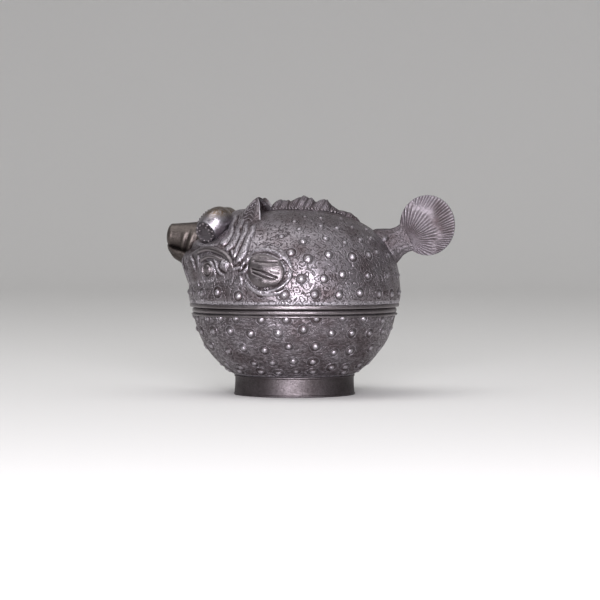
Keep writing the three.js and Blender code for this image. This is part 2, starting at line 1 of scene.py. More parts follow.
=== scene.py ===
import bpy
import math
import numpy as np
from functools import partial
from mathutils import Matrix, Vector


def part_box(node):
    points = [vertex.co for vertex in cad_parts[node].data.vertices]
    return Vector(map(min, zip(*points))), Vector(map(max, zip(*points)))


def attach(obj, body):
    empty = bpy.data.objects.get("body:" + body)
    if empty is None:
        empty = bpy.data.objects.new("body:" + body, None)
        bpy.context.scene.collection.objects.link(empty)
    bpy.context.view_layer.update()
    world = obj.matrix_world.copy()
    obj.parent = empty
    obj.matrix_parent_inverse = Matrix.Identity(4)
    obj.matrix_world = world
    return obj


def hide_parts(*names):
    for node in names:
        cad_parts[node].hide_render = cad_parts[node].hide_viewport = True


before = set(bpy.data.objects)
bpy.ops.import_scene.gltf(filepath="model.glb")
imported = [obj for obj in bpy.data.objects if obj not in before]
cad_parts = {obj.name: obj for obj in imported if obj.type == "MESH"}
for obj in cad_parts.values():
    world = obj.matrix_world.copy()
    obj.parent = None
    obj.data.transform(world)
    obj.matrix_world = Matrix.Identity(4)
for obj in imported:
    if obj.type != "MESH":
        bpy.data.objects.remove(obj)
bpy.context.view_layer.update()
print("frame loaded:", len(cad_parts), "nodes")

footLow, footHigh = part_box("foot_ring")
axisX = 1000 * (footLow.x + footHigh.x) / 2  # the body's own axis in the frame, mm

# Sizes shared by several pieces, in mm, measured from the body's axis and from the surface it stands on.
body = {
    "footTop": 5.9, "footRadius": 17.6, "footFlare": 0.3, "footWall": 1.0,
    "bowlRadius": 30.0, "bowlTop": 24.2, "bowlLip": 2.2, "bowlWall": 1.0, "bowlSag": 3.1,
    "seam": 26.0, "lidEdge": 27.2, "lidWidest": 30.0, "lidRadius": 31.4, "lidRise": 24.7,
    "lidSquareness": 2.4, "lidTuck": 0.4, "lidWall": 1.0, "collarRadius": 28.42,
}
side = {"left": 1, "right": -1}  # the animal's own; the sign turns the left side's shapes into the right's
chance = np.random.default_rng(24)


def placed(data):
    # An object for a mesh, a camera or a lamp, linked to the scene.
    thing = bpy.data.objects.new(data.name, data)
    bpy.context.scene.collection.objects.link(thing)
    return thing


# Camera: a long lens level with the lid's shoulder, as in the photograph.
camera = {"distance": 730, "height": 49.6, "turn": 5, "aimAside": 1.63, "aimHeight": 27.9, "lens": 147.6}


def placeCamera():
    turn = math.radians(camera["turn"])
    right = Vector((math.cos(turn), math.sin(turn), 0))
    away = Vector((math.sin(turn), -math.cos(turn), 0))
    axis = Vector((axisX, 0, 0))
    spot = axis + away * camera["distance"] + Vector((0, 0, camera["height"]))
    aim = axis + right * camera["aimAside"] + Vector((0, 0, camera["aimHeight"]))
    data = bpy.data.cameras.new("camera")
    data.lens = camera["lens"]
    data.sensor_width = 36
    data.clip_start = 0.01
    eye = placed(data)
    eye.location = spot / 1000
    eye.rotation_euler = (aim - spot).to_track_quat("-Z", "Y").to_euler()
    bpy.context.scene.camera = eye


placeCamera()
print("camera placed")


# Numbers for surfaces.

def step(low, high, values):
    # 0 below low, 1 above high, and a smooth cubic between.
    share = np.clip((values - low) / (high - low), 0, 1)
    return share * share * (3 - 2 * share)


def bell(values, middle, width):
    # exp(-((values - middle) / width)^2)
    return np.exp(-(((values - middle) / width) ** 2))


def fullTurn(count):
    # Evenly spaced angles round a circle, as one row.
    return np.linspace(0, 2 * math.pi, count, endpoint=False)[None, :]


def ball(fromPole, count):
    # A unit ball's points: one row for each angle from its pole, and count columns round it.
    down, angle = np.asarray(fromPole)[:, None], fullTurn(count)
    return np.stack([np.sin(down) * np.cos(angle), np.sin(down) * np.sin(angle), np.cos(down) + 0 * angle], -1)


def smoothPath(points, count=28):
    # A line through the points: each span is a cubic whose slopes are half the gap between its neighbours.
    points = np.asarray(points, float)
    ends = np.vstack([2 * points[0] - points[1], points, 2 * points[-1] - points[-2]])
    place = np.linspace(0, len(points) - 1, count)
    span = np.minimum(place.astype(int), len(points) - 2)
    t = (place - span)[:, None]
    a, b, c, d = (ends[span + k] for k in range(4))
    return 0.5 * (2 * b + (c - a) * t + (2 * a - 5 * b + 4 * c - d) * t**2 + (3 * b - a - 3 * c + d) * t**3)


def soften(field, cells, wraps=(False, False)):
    # A running mean over (2 * cells + 1) neighbours along rows, then along columns, from a running sum.
    for axis, wrap in enumerate(wraps):
        reach = min(cells, field.shape[axis] - 1)
        pad = [(0, 0)] * field.ndim
        pad[axis] = (reach + 1, reach)
        total = np.cumsum(np.pad(field, pad, mode="wrap" if wrap else "edge"), axis)
        high = np.take(total, range(2 * reach + 1, total.shape[axis]), axis)
        low = np.take(total, range(0, total.shape[axis] - 2 * reach - 1), axis)
        field = (high - low) / (2 * reach + 1)
    return field


def facing(points):
    # The unit cross product of the differences along columns and along rows.
    across = np.cross(np.gradient(points, axis=1), np.gradient(points, axis=0))
    return across / np.maximum(np.linalg.norm(across, axis=-1, keepdims=True), 1e-9)


def distanceTo(points, path):
    # Nearest distance from each point to a line of short straight spans, and the share of the line there.
    nearest = np.full(points.shape[:-1], 1e9)
    share = np.zeros(points.shape[:-1])
    for i in range(len(path) - 1):
        span = path[i + 1] - path[i]
        along = np.clip((points - path[i]) @ span / max(span @ span, 1e-9), 0, 1)
        gap = np.linalg.norm(points - path[i] - along[..., None] * span, axis=-1)
        closer = gap < nearest
        nearest = np.where(closer, gap, nearest)
        share = np.where(closer, (i + along) / (len(path) - 1), share)
    return nearest, share


# Meshes.

def quadsOf(index):
    # The four corners of each cell in a grid of vertex numbers.
    return np.stack([index[:-1, :-1], index[:-1, 1:], index[1:, 1:], index[1:, :-1]], -1).reshape(-1, 4)


def gridMesh(name, points, cells=3, poles=True, hoop=False, **marks):
    # Rows and columns of points, in mm from the body's axis, become quads. Columns join round, the rows of a hoop
    # join too, and poles close both end rows onto their mean points. Faces are turned to give a volume above zero.
    # The mark "hollow" is how far a point lies under the mean of its neighbours, along the surface's facing.
    index = np.arange(points.shape[0] * points.shape[1]).reshape(points.shape[:2])
    index = np.hstack([index, index[:, :1]])
    if hoop:
        index = np.vstack([index, index[:1]])
    quads = quadsOf(index)
    marks["hollow"] = np.sum((soften(points, cells, (hoop, True)) - points) * facing(points), axis=-1)
    flat = {key: np.broadcast_to(value, points.shape[:2]).reshape(-1) for key, value in marks.items()}
    vertices, fans = points.reshape(-1, 3), []
    for row, order in ((0, [1, 0, 2]), (-1, [0, 1, 2])) if poles else ():
        start, end = index[row, :-1], index[row, 1:]
        fans.append(np.stack([start, end, np.full(len(start), len(vertices))], -1)[:, order])
        vertices = np.vstack([vertices, points[row].mean(0)])
        flat = {key: np.append(value, value[start[0]]) for key, value in flat.items()}
    volume = sum(np.einsum("ij,ij->", vertices[t[:, 0]], np.cross(vertices[t[:, 1]], vertices[t[:, 2]]))
                 for t in (quads[:, [0, 1, 2]], quads[:, [0, 2, 3]], *fans))
    if volume < 0:
        quads, fans = quads[:, ::-1], [fan[:, ::-1] for fan in fans]
        flat["hollow"] = -flat["hollow"]
    loops = np.concatenate([faces.reshape(-1) for faces in (quads, *fans)])
    sizes = np.concatenate([np.full(len(faces), faces.shape[1]) for faces in (quads, *fans)])
    mesh = bpy.data.meshes.new(name)
    mesh.vertices.add(len(vertices))
    mesh.vertices.foreach_set("co", ((vertices + [axisX, 0, 0]) / 1000).astype(np.float32).reshape(-1))
    mesh.loops.add(len(loops))
    mesh.loops.foreach_set("vertex_index", loops.astype(np.int32))
    mesh.polygons.add(len(sizes))
    mesh.polygons.foreach_set("loop_start", (np.cumsum(sizes) - sizes).astype(np.int32))
    mesh.polygons.foreach_set("use_smooth", np.ones(len(sizes), bool))
    for key, value in flat.items():
        mesh.attributes.new(key, "FLOAT", "POINT").data.foreach_set("value", value.astype(np.float32))
    mesh.update()
    mesh.validate()
    return mesh


def slabMesh(name, front, back, **marks):
    # A front and a back sheet of the same grid, joined along all four borders: the columns of both make a ring,
    # and the first and last rows are drawn together onto their middle line.
    sheets = np.concatenate([front, back[:, ::-1]], axis=1)
    middle = (sheets + sheets[:, ::-1]) / 2
    for key, value in marks.items():
        value = np.concatenate([value, value[:, ::-1]], axis=1)
        marks[key] = np.concatenate([value[:1], value, value[-1:]])
    return gridMesh(name, np.concatenate([middle[:1], sheets, middle[-1:]]), 4, poles=False, **marks)


def addPiece(piece, bodyName, slotName, material, *nodes):
    # The piece is an object, or a mesh that has no object yet.
    if isinstance(piece, bpy.types.Mesh):
        piece = placed(piece)
    piece.data.materials.append(material)
    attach(piece, bodyName)
    if nodes:
        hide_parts(*nodes)


# Materials.

def linear(code):
    # A hex colour as it looks on screen, turned to the linear numbers that light is worked out in, and opaque.
    parts = [int(code[i:i + 2], 16) / 255 for i in (1, 3, 5)]
    return tuple(p / 12.92 if p <= 0.04045 else ((p + 0.055) / 1.055) ** 2.4 for p in parts) + (1.0,)


def emptyTree(owner):
    owner.use_nodes = True
    owner.node_tree.nodes.clear()
    return owner.node_tree


def addNode(tree, kind, inputs=(), output=0, **settings):
    # Inputs are values or sockets, by place or by name. It gives back the one output that is asked for.
    node = tree.nodes.new("ShaderNode" + kind)
    for key, value in settings.items():
        setattr(node, key, value)
    for key, value in inputs.items() if isinstance(inputs, dict) else enumerate(inputs):
        if isinstance(value, bpy.types.NodeSocket):
            tree.links.new(value, node.inputs[key])
        else:
            node.inputs[key].default_value = value
    return node.outputs[output] if node.outputs else None


# Old silver: a bright metal under a thin brownish-black sulphide, rubbed back to metal wherever fingers reach.
# Tone hexes are for the bare metal, the tarnished field, and the dark that fills the recesses as tarnish with painted
# shade and also marks random specks.
silverLooks = {
    "chased": {"bare": "#aaa5ab", "field": "#5b5052", "dirtAndShade": "#251c1b", "rough": (0.34, 0.47)},
    "plain": {"bare": "#8e878a", "field": "#554f50", "dirtAndShade": "#221c1c", "rough": (0.26, 0.42)},
    "polished": {"bare": "#bfbbc2", "field": "#6f686c", "dirtAndShade": "#221c1c", "rough": (0.26, 0.36)},
    "greyBrown": {"bare": "#665f5b", "field": "#3f3836", "dirtAndShade": "#1f1918", "rough": (0.38, 0.52)},
}
patina = "#66533a"  # a warm brown bloom where the mark "brown" is set
chasing = {
    "curlCell": 2.5,        # mm across a group of nested strokes on the lid
    "curlSpacing": 0.76,    # mm from one curved chisel stroke to the next
    "strokeSpacing": 0.62,  # mm between the level strokes on the bowl; the real 0.5 would not show
    "depth": 0.2,           # mm
    "ringRadius": 1.38,     # mm, the punched circle round each boss
    "ringWidth": 0.16,      # mm
}
smooth = {"interpolation_type": "SMOOTHSTEP"}  # a range with eased ends


def tarnishedSilver(name, look, pattern=None, hollowSpan=0.12, ringed=False, strength=1.0):
    # hollowSpan is the mark "hollow", in mm, at which a dip is fully darkened, with tarnish and painted shade, and a
    # crest fully rubbed.
    settings = silverLooks[look]
    bare, field, dirtAndShade = (linear(settings[key]) for key in ("bare", "field", "dirtAndShade"))
    material = bpy.data.materials.new(name)
    add = partial(addNode, emptyTree(material))
    millimetres = add("Mapping", {"Vector": add("TexCoord", output="Object"), "Scale": (1000, 1000, 1000)})
    hollow, dark, brown = (add("Attribute", output="Fac", attribute_name=mark)
                           for mark in ("hollow", "dark", "brown"))
    clouds, specks = (add("TexNoise", {"Vector": millimetres, "Scale": scale, "Detail": detail, "Roughness": rough})
                      for scale, detail, rough in ((0.11, 5, 0.6), (1.6, 4, 0.65)))
    brushed = add("Mapping", {"Vector": millimetres, "Scale": (0.5, 0.5, 5), "Rotation": (0.2, 0.35, 0)})
    scratches = add("TexNoise", {"Vector": brushed, "Scale": 1.1, "Detail": 3})
    height = add("Math", [add("MapRange", [scratches, 0.35, 0.75, 0, 0.12], **smooth),
                          add("MapRange", [specks, 0.3, 0.75, 0, 0.16], **smooth)], operation="ADD")
    recess, worn = (add("MapRange", [hollow, 0, span], **smooth) for span in (hollowSpan, -hollowSpan))
    if pattern == "curls":
        # Rings of distance from scattered points, broken up by noise, leave nested curved chisel strokes.
        bent = add("TexNoise", {"Vector": millimetres, "Scale": 0.5, "Detail": 2}, "Color")
        push = add("VectorMath", {0: bent, "Scale": 2.2}, operation="SCALE")
        pushed = add("VectorMath", [millimetres, push], operation="ADD")
        cells = add("TexVoronoi", {"Vector": pushed, "Scale": 1 / chasing["curlCell"]}, feature="F1")
        turns = 2 * math.pi * chasing["curlCell"] / chasing["curlSpacing"]
        waves = add("Math", [add("Math", [cells, turns], operation="MULTIPLY")], operation="SINE")
        broken = add("TexNoise", {"Vector": millimetres, "Scale": 1.1, "Detail": 1})
        lines = add("Math", [add("MapRange", [waves, -0.1, 0.9], **smooth),
                             add("MapRange", [broken, 0.36, 0.5], **smooth)], operation="MULTIPLY")
    elif pattern == "strokes":
        level = add("Mapping", {"Vector": millimetres, "Scale": (0.45, 0.45, 1)})
        bent = add("TexNoise", {"Vector": level, "Scale": 1.25 / chasing["strokeSpacing"], "Detail": 2,
                                "Distortion": 0.6})
        lines = add("MapRange", [bent, 0.44, 0.55], **smooth)
    if ringed:
        radius, width = chasing["ringRadius"], chasing["ringWidth"]
        away = add("Attribute", output="Fac", attribute_name="fromBoss")
        off = add("Math", [add("Math", [away, radius], operation="SUBTRACT")], operation="ABSOLUTE")
        ring = add("MapRange", [off, width * 1.6, width * 0.3], **smooth)
        quiet = add("MapRange", [away, radius - 0.1, radius + 0.25], **smooth)
        lines = add("Math", [add("Math", [lines, quiet], operation="MULTIPLY"), ring], operation="MAXIMUM")
        past = add("Math", [add("Math", [off, 2.2 * width], operation="SUBTRACT")], operation="ABSOLUTE")
        near = add("MapRange", [past, 0.2, 0.05], **smooth)
        lip = add("Math", [near, quiet], operation="MULTIPLY")  # metal pushed up outside the punch
        height = add("Math", [height, lip], operation="ADD")
        worn = add("Math", [worn, add("Math", [lip, 0.7], operation="MULTIPLY")], operation="MAXIMUM")
    if pattern:
        # The chased lines are cut into the bump and also darkened in colour: tarnish in them, with painted shade.
        cut, filled = (add("Math", [lines, share * strength], operation="MULTIPLY") for share in (0.8, 0.6))
        height = add("Math", [height, cut], operation="SUBTRACT")
        recess = add("Math", [recess, filled], operation="MAXIMUM")
    # The mark dark darkens a point as a hollow does: on some pieces an even darker tone, on others painted shade in
    # creases and grooves.
    recess = add("Math", [recess, dark], operation="MAXIMUM")
    tarnish, flecks, mottling = (add("MapRange", span, **smooth) for span in (
        (clouds, 0.3, 0.72, 0.3, 0.95), (specks, 0.42, 0.7, 0, 0.35), (specks, 0.35, 0.6, 0.35, 1)))
    # soiled is the darkening of hollows, chased lines and the mark dark: tarnish with painted shade.
    rubbed, shadedAndSoiled, mottled = (add("Math", pair, operation="MULTIPLY")
                               for pair in ((worn, 0.85), (recess, 0.82), (brown, mottling)))
    colour = bare
    for share, over in ((tarnish, field), (flecks, dirtAndShade), (rubbed, bare), (mottled, linear(patina)), (shadedAndSoiled, dirtAndShade)):
        colour = add("Mix", {0: share, 6: colour, 7: over}, 2, data_type="RGBA")
    low, high = settings["rough"]
    rough = add("Mix", {0: tarnish, 2: low, 3: high}, data_type="FLOAT")
    for share, amount, last in ((recess, 0.25, False), (worn, -0.03, True)):
        change = add("Math", [share, amount], operation="MULTIPLY")
        rough = add("Math", [rough, change], operation="ADD", use_clamp=last)
    bump = add("Bump", {"Height": height, "Strength": 1, "Distance": chasing["depth"] / 1000})
    shader = add("BsdfPrincipled", {"Base Color": colour, "Metallic": 1, "Roughness": rough, "Normal": bump})
    add("OutputMaterial", [shader])
    return material


lidSilver = tarnishedSilver("silver_chased_curls", "chased", "curls", ringed=True, strength=1.15)
bowlSilver = tarnishedSilver("silver_chased_strokes", "chased", "strokes", ringed=True)
headSilver = tarnishedSilver("silver_chased_cheeks", "chased", "curls", hollowSpan=0.13, strength=0.9)
scaleSilver = tarnishedSilver("silver_fine_scales", "chased", "curls", hollowSpan=0.18)
fanSilver = tarnishedSilver("silver_fan_ribs", "chased", hollowSpan=0.09)  # the ribs are formed, with no chasing
reliefSilver = tarnishedSilver("silver_raised_relief", "plain", hollowSpan=0.13)
plainSilver = tarnishedSilver("silver_plain_strip", "plain")
brightSilver = tarnishedSilver("silver_rubbed_bright", "polished", hollowSpan=0.18)  # a soft shine
brownSilver = tarnishedSilver("silver_gold_brown_patina", "greyBrown", hollowSpan=0.18)  # dull and warm
print("materials made")


# Walls of the bowl and the lid.

def bowlRadiusAt(height, inset=0.0):
    # Part of an ellipse, widest just above the rim, that passes through the foot's top edge.
    widest = body["bowlTop"] + body["bowlLip"]
    depth = (widest - body["footTop"]) / math.sqrt(1 - (body["footRadius"] / body["bowlRadius"]) ** 2)
    share = np.clip((widest - height) / (depth - inset), 0, 1)
    return (body["bowlRadius"] - inset) * np.sqrt(1 - share**2)


def lidProfile(offset=0.0):
    # From the edge up a slight outward curve to the widest line, then a squared ellipse to the crown.
    skirt = np.linspace(body["lidEdge"], body["lidWidest"], 200)[:-1]
    tuck = (body["lidWidest"] - skirt) / (body["lidWidest"] - body["lidEdge"])
    angle = np.linspace(0, math.pi / 2, 4000)
    power = 2 / body["lidSquareness"]
    wide = body["lidRadius"] + offset
    radius = np.concatenate([wide - body["lidTuck"] * tuck**2, wide * np.maximum(np.cos(angle), 0) ** power])
    height = np.concatenate([skirt, body["lidWidest"] + (body["lidRise"] + offset) * np.sin(angle) ** power])
    return radius, height


lidRadii, lidHeights = lidProfile()
lidLengths = np.concatenate([[0], np.cumsum(np.hypot(np.diff(lidRadii), np.diff(lidHeights)))])


def lengthAt(height):
    return np.interp(height, lidHeights, lidLengths)


def radiusAt(height):
    return np.interp(height, lidHeights, lidRadii)


def levelAt(radius):
    return np.interp(radius, lidRadii[::-1], lidHeights[::-1])


def spotAt(radius, turn, height):
    # The turn is in degrees from the middle of the head towards the animal's left.
    angle = np.radians(turn)
    return np.stack([-radius * np.cos(angle), -radius * np.sin(angle), height + 0 * angle], -1)


def lidSpot(turn, length):
    # The lid's outside at a turn and a length up the outline from the edge, and the unit vector out of the wall.
    slack = 0.25  # mm each way along the outline, for its slope
    radii, heights = ([np.interp(length + shift, lidLengths, line) for shift in (-slack, 0, slack)]
                      for line in (lidRadii, lidHeights))
    rise, lean = heights[2] - heights[0], radii[0] - radii[2]
    scale = np.maximum(np.hypot(rise, lean), 1e-9)
    return spotAt(radii[1], turn, heights[1]), spotAt(rise / scale, turn, lean / scale)


bosses = {
    "radius": 0.9, "high": 0.55,
    "apart": 3.4,  # a fellow nearer than this to a listed boss is left out
    # each boss of one half as turn in degrees, height in mm; the other half has their fellows, moved a little
    "lid": [
        8, 30.4, 22, 30.6, 36, 30.3, 50, 30.8, 64, 29.8, 77, 30.9, 89.6, 30.3, 105.8, 30.4, 119.2, 30.2,
        131.9, 30.7, 146.2, 30.2, 159, 30, 172, 30.4, 98.6, 34.8, 110.8, 34.9, 121.6, 36.1, 138.1, 35.6, 155, 35.4,
        169, 35.2, 102.7, 40.6, 114.9, 41.8, 129.7, 41, 142.3, 41.5, 150.8, 42.2, 164, 41.2, 86.6, 46.9,
        100.5, 45.5, 115.5, 46.3, 127.6, 45.1, 141.2, 45.8, 154, 46.3, 79.5, 43.5, 93, 42.3, 95, 51.1, 98.6, 49,
        106.1, 52.5, 116, 49.9, 128, 49.2, 143.4, 49.4, 161, 48.9, 122, 52.2, 146, 52,
    ],
    "bowl": [
        7, 23.2, 22, 22.8, 37, 23, 49, 23.4, 60.2, 23.5, 76.2, 23.1, 90.3, 23.1, 107.1, 23.5, 122.6, 23.6,
        137.1, 23.2, 154.2, 22.4, 169, 23, 8, 19.4, 24, 19, 40, 19.3, 54.9, 19.6, 68.7, 18.9, 85.5, 19.1,
        100.1, 20.2, 116.9, 19.1, 130.4, 19, 144.6, 18.8, 158, 19.2, 170.9, 19.3, 0, 14.5, 15, 14.2, 30, 14.9,
        47.5, 13.6, 61.3, 14.6, 75.7, 14.1, 91.4, 15.2, 108, 15.2, 121.1, 13.5, 133.3, 13.7, 151.8, 14.4, 166, 14,
        17, 9.2, 33, 9.5, 48.7, 8.8, 64.6, 10.1, 79.2, 10.4, 94.2, 10.9, 108, 10.7, 124.7, 8.9, 137.9, 8.9,
        153.4, 9.3, 169, 9.6, 66.2, 7.6, 81.6, 7.3, 96.3, 7.8, 110.2, 7.7, 42, 7.5, 20, 7.4, 3, 7.6, 141, 7.3,
        163, 7.5,
    ],
}


def bossSpots(wall):
    # Every listed boss and its fellow across the middle plane, with radius and height; both vary, and they are
    # smaller towards the lid's crown.
    near = np.reshape(bosses[wall], (-1, 2))
    far = near * [-1, 1] + chance.uniform(-1, 1, near.shape) * [2.0, 0.35]
    radiusOf = radiusAt if wall == "lid" else bowlRadiusAt
    nearSpots, farSpots = (spotAt(radiusOf(half[:, 1]), *half.T) for half in (near, far))
    gap = np.linalg.norm(farSpots[:, None] - nearSpots[None], axis=-1).min(1)
    spots = np.concatenate([nearSpots, farSpots[gap > bosses["apart"]]])
    smaller = 1 - 0.08 * step(33, 37, spots[:, 2:]) - 0.27 * step(42, 48, spots[:, 2:])
    return spots, smaller * chance.uniform(0.86, 1.12, (len(spots), 1)) * [bosses["radius"], bosses["high"]]


def bossLift(points, spots, sizes):
    # Each boss is a rounded stud: its height times (1 - (d / radius)^2.4), d being the distance from its middle.
    # "away" is d too, in proportion to the boss's radius, so that a small boss has a small ring.
    lift = np.zeros(points.shape[:2], np.float32)
    away = np.full(points.shape[:2], 9.0, np.float32)
    grid = points.astype(np.float32)
    for spot, (radius, high) in zip(spots, sizes):
        rows = np.where(np.abs(grid[:, 0, 2] - spot[2]) < 4)[0]
        if len(rows):
            part = slice(rows[0], rows[-1] + 1)
            gap = np.sqrt(np.sum((grid[part] - spot.astype(np.float32)) ** 2, axis=-1))
            lift[part] = np.maximum(lift[part], high * np.clip(1 - (gap / radius) ** 2.4, 0, 1))
            away[part] = np.minimum(away[part], gap * (bosses["radius"] / radius))
    return lift, away


def handwork(points):
    # Slight unevenness of a hammered wall: a few crossing waves a tenth of a millimetre high.
    x, y, z = points[..., 0], points[..., 1], points[..., 2]
    waves = np.sin(0.31 * x + 0.22 * z + 1.1) * np.sin(0.27 * y - 0.35 * z + 0.4)
    return 0.07 * waves + 0.05 * np.sin(0.61 * x - 0.5 * y + 0.7 * z)


def ringAround(profile, count):
    # A profile of (radius, height) pairs carried round the axis; its seam is at the back.
    angle = fullTurn(count) + math.pi / 2
    radius, height = profile[:, :1], profile[:, 1:]
    return np.stack([radius * np.cos(angle), radius * np.sin(angle), height + 0 * angle], -1)


def addWall(wall, profile, count, first, last, material):
    # The profile carried round, with bosses and slight dents on its outside, which is the rows from first to last.
    points = ringAround(profile, count)
    lift, away = bossLift(points, *bossSpots(wall))
    skin = np.zeros((len(points), 1))
    skin[first:last] = 1
    out, probe = facing(points), (first + last) // 2
    out *= np.sign(np.sum(out[probe] * (points[probe] - [0, 0, body["lidWidest"]])))
    points = points + out * ((lift + handwork(points)) * skin)[..., None]
    mesh = gridMesh(wall + "_wall", points, fromBoss=np.where(skin > 0, away, 9))
    addPiece(mesh, wall, "silver_chased", material, wall + "_shell")


def makeBowl():
    # From under the middle out to the foot, up the outside, down the inside and in to the middle of the floor.
    foot, wall = body["footTop"], body["bowlWall"]
    floor = foot - body["bowlSag"]
    share = np.linspace(0.03, 1, 8)
    under = np.stack([body["footRadius"] * share, floor + (foot - floor) * share**2], -1)[:-1]
    height = np.linspace(foot, body["bowlTop"], 84)
    outer = np.stack([bowlRadiusAt(height), height], -1)
    height = np.linspace(body["bowlTop"], foot + wall, 14)
    inner = np.stack([bowlRadiusAt(height, wall), height], -1)
    inner[0, 0] += 0.1
    share = np.linspace(1, 0.03, 8)[1:]
    inside = np.stack([inner[-1, 0] * share, floor + wall + (inner[-1, 1] - floor - wall) * share**2], -1)
    addWall("bowl", np.concatenate([under, outer, inner, inside]), 720, len(under) + 1, len(under) + len(outer) - 1,
            bowlSilver)


def makeLid():
    # From the crown down the outside to the edge, then up the inside.
    length = np.linspace(0, lidLengths[-1] * 0.985, 128)[::-1]
    outer = np.stack([np.interp(length, lidLengths, line) for line in (lidRadii, lidHeights)], -1)
    inner = np.stack(lidProfile(-body["lidWall"]), -1)
    pick = np.linspace(len(inner) - 60, 0, 16).astype(int)[::-1]
    addWall("lid", np.concatenate([outer, inner[pick]]), 660, 0, len(outer) - 1, lidSilver)


makeBowl()
makeLid()
print("walls made")


# Plain rings: each is a closed profile carried round the axis, its corners cut back to soften them.

def softProfile(points, passes=2):
    # Each corner is replaced by two points, a quarter in along its sides, and that again for each pass.
    points = np.asarray(points, float)
    for _ in range(passes):
        after = np.roll(points, -1, axis=0)
        points = np.stack([0.75 * points + 0.25 * after, 0.25 * points + 0.75 * after], 1).reshape(-1, 2)
    return points


def addRing(name, profile, bodyName, node, dark=0.0):
    mesh = gridMesh(name, ringAround(softProfile(profile), 300), poles=False, hoop=True, dark=dark)
    addPiece(mesh, bodyName, "silver_plain", plainSilver, node)


def makeRings():
    radius, wall = body["footRadius"], body["footWall"]
    flared, waist = radius + body["footFlare"], radius + body["footFlare"] * 0.7
    addRing("foot_strip", [
        (flared - wall, 0), (flared - 0.1, 0), (flared + 0.12, 0.14), (flared + 0.1, 0.5), (flared - 0.12, 0.62),
        (waist, 0.9), (radius + 0.1, 2.2), (radius, 4), (radius, 5.2), (radius + 0.02, 5.35), (radius + 0.26, 5.45),
        (radius + 0.26, 5.8), (radius + 0.05, 5.95), (radius - 0.5, 5.75), (radius - wall, 5.4),
        (radius - wall + 0.1, 2)], "bowl", "foot_ring", 0.6)
    middle, wire = body["bowlRadius"] + 0.12, 0.33  # wire: the bead's own radius
    angle = np.radians(np.arange(0, 360, 30))
    bead = np.stack([middle + 0.1 + wire * np.cos(angle), body["bowlTop"] - wire + wire * np.sin(angle)], -1)
    addRing("bead_wire", bead, "bowl", "bowl_bead_wire")
    outer, low, high = body["bowlRadius"] + 0.3, body["bowlTop"], body["seam"]
    collar = body["collarRadius"]
    inner = collar + 0.1
    addRing("rim_band", [
        (inner, low + 0.02), (outer - 0.75, low + 0.02), (outer - 0.2, low + 0.2), (outer, low + 0.7),
        (outer, high - 0.75), (outer - 0.22, high - 0.25), (outer - 0.8, high - 0.02), (inner, high - 0.02)],
        "bowl", "bowl_rim_band")
    addRing("inner_collar", [
        (collar - 0.8, 22), (collar - 0.4, 22), (collar, 22.1), (collar, 24), (collar, 28.8), (collar - 0.3, 29.18),
        (collar - 0.6, 29.2), (collar - 0.8, 29.1), (collar - 0.8, 26)], "bowl", "seating_collar")
    edge, seam, top = body["lidRadius"] - body["lidTuck"], body["seam"], body["lidEdge"]
    inner = collar + 0.15
    addRing("lid_strip", [
        (inner, seam), (edge - 0.3, seam), (edge, seam + 0.12), (edge + 0.05, seam + 0.6), (edge, top - 0.12),
        (edge - 0.25, top), (inner, top)], "lid", "lid_rim_strip")


makeRings()
print("rings made")


# The head, in mm, with places round it as (turn, height). Its relief is drawn on the lid's own outside.
head = {
    "cheek": 3.4, "cheekEnd": 74, "cheekRises": (31.5, 40.2), "cheekFalls": (41.8, 48.6), "dip": 0.35, "sheet": 0.7,
    "forehead": 2.3, "foreheadMiddle": (-16.5, 0), "foreheadReach": (5, 9), "foreheadRises": (45, 50),  # x, then y
    "socket": 1.3, "socketMiddle": (27, 46.2), "socketReach": (11, 2.6),
    "pad": 0.55, "padMiddle": (80.5, 37), "padReach": (15.5, 8.2),
}


def hill(first, second, middle, reach):
    # A bell in two directions: exp(-a^2 - b^2), where a and b are the distances from the middle over their reach.
    return np.exp(-(((first - middle[0]) / reach[0]) ** 2) - ((second - middle[1]) / reach[1]) ** 2)


def maskLift(turn, height):
    # The cheeks stand out most at the front and die away behind the eyes, by a cosine to the power 1.5. A low hump
    # lies between the domes and the ears, a hollow under each dome, and a low oval pad under each side fin.
    aside, radius = np.abs(turn), radiusAt(height)
    around = np.cos(np.radians(np.minimum(aside, head["cheekEnd"]) * 90 / head["cheekEnd"])) ** 1.5
    band = step(*head["cheekRises"], height) * (1 - step(*head["cheekFalls"], height))
    x, y = -radius * np.cos(np.radians(turn)), radius * np.sin(np.radians(turn))
    forehead = hill(x, y, head["foreheadMiddle"], head["foreheadReach"]) * step(*head["foreheadRises"], height)
    socket = hill(aside, height, head["socketMiddle"], head["socketReach"])
    (padTurn, padHeight), (padWide, padTall) = head["padMiddle"], head["padReach"]
    away = np.hypot((aside - padTurn) / padWide, (height - padHeight) / padTall)
    return (head["cheek"] * around * band + head["forehead"] * forehead - head["socket"] * socket
            + head["pad"] * (1 - step(0.72, 1.0, away)))


def addStrokes(lift, chart, strokes):
    # roll: a half-round cord, high * sqrt(1 - (d / wide)^2), laid over what is there; swell: added on, with
    # high * exp(-(d / wide)^2); cut: the same, taken away. The half width varies along the line, and its ends taper.
    for form, path, widths, high, taper in strokes:
        spots, widths = smoothPath(np.reshape(path, (-1, 2))), np.atleast_1d(widths)
        line = lidSpot(spots[:, 0], lengthAt(spots[:, 1]))[0]
        reach = widths.max() * (1.0 if form == "roll" else 2.6)
        near = np.all((chart > line.min(0) - reach) & (chart < line.max(0) + reach), axis=-1)
        away, share = distanceTo(chart[near], line)
        wide = np.interp(share, np.linspace(0, 1, len(widths)), widths)
        ends = step(0, taper, share) * step(0, taper, 1 - share)
        if form == "roll":
            cord = np.sqrt(np.clip(1 - (away / wide) ** 2, 0, 1)) * high * (0.3 + 0.7 * ends)
            lift[near] = np.maximum(lift[near], lift[near] * 0.4 + cord)
        else:
            lift[near] += bell(away, 0, wide) * (high if form == "swell" else -high) * ends
    return lift


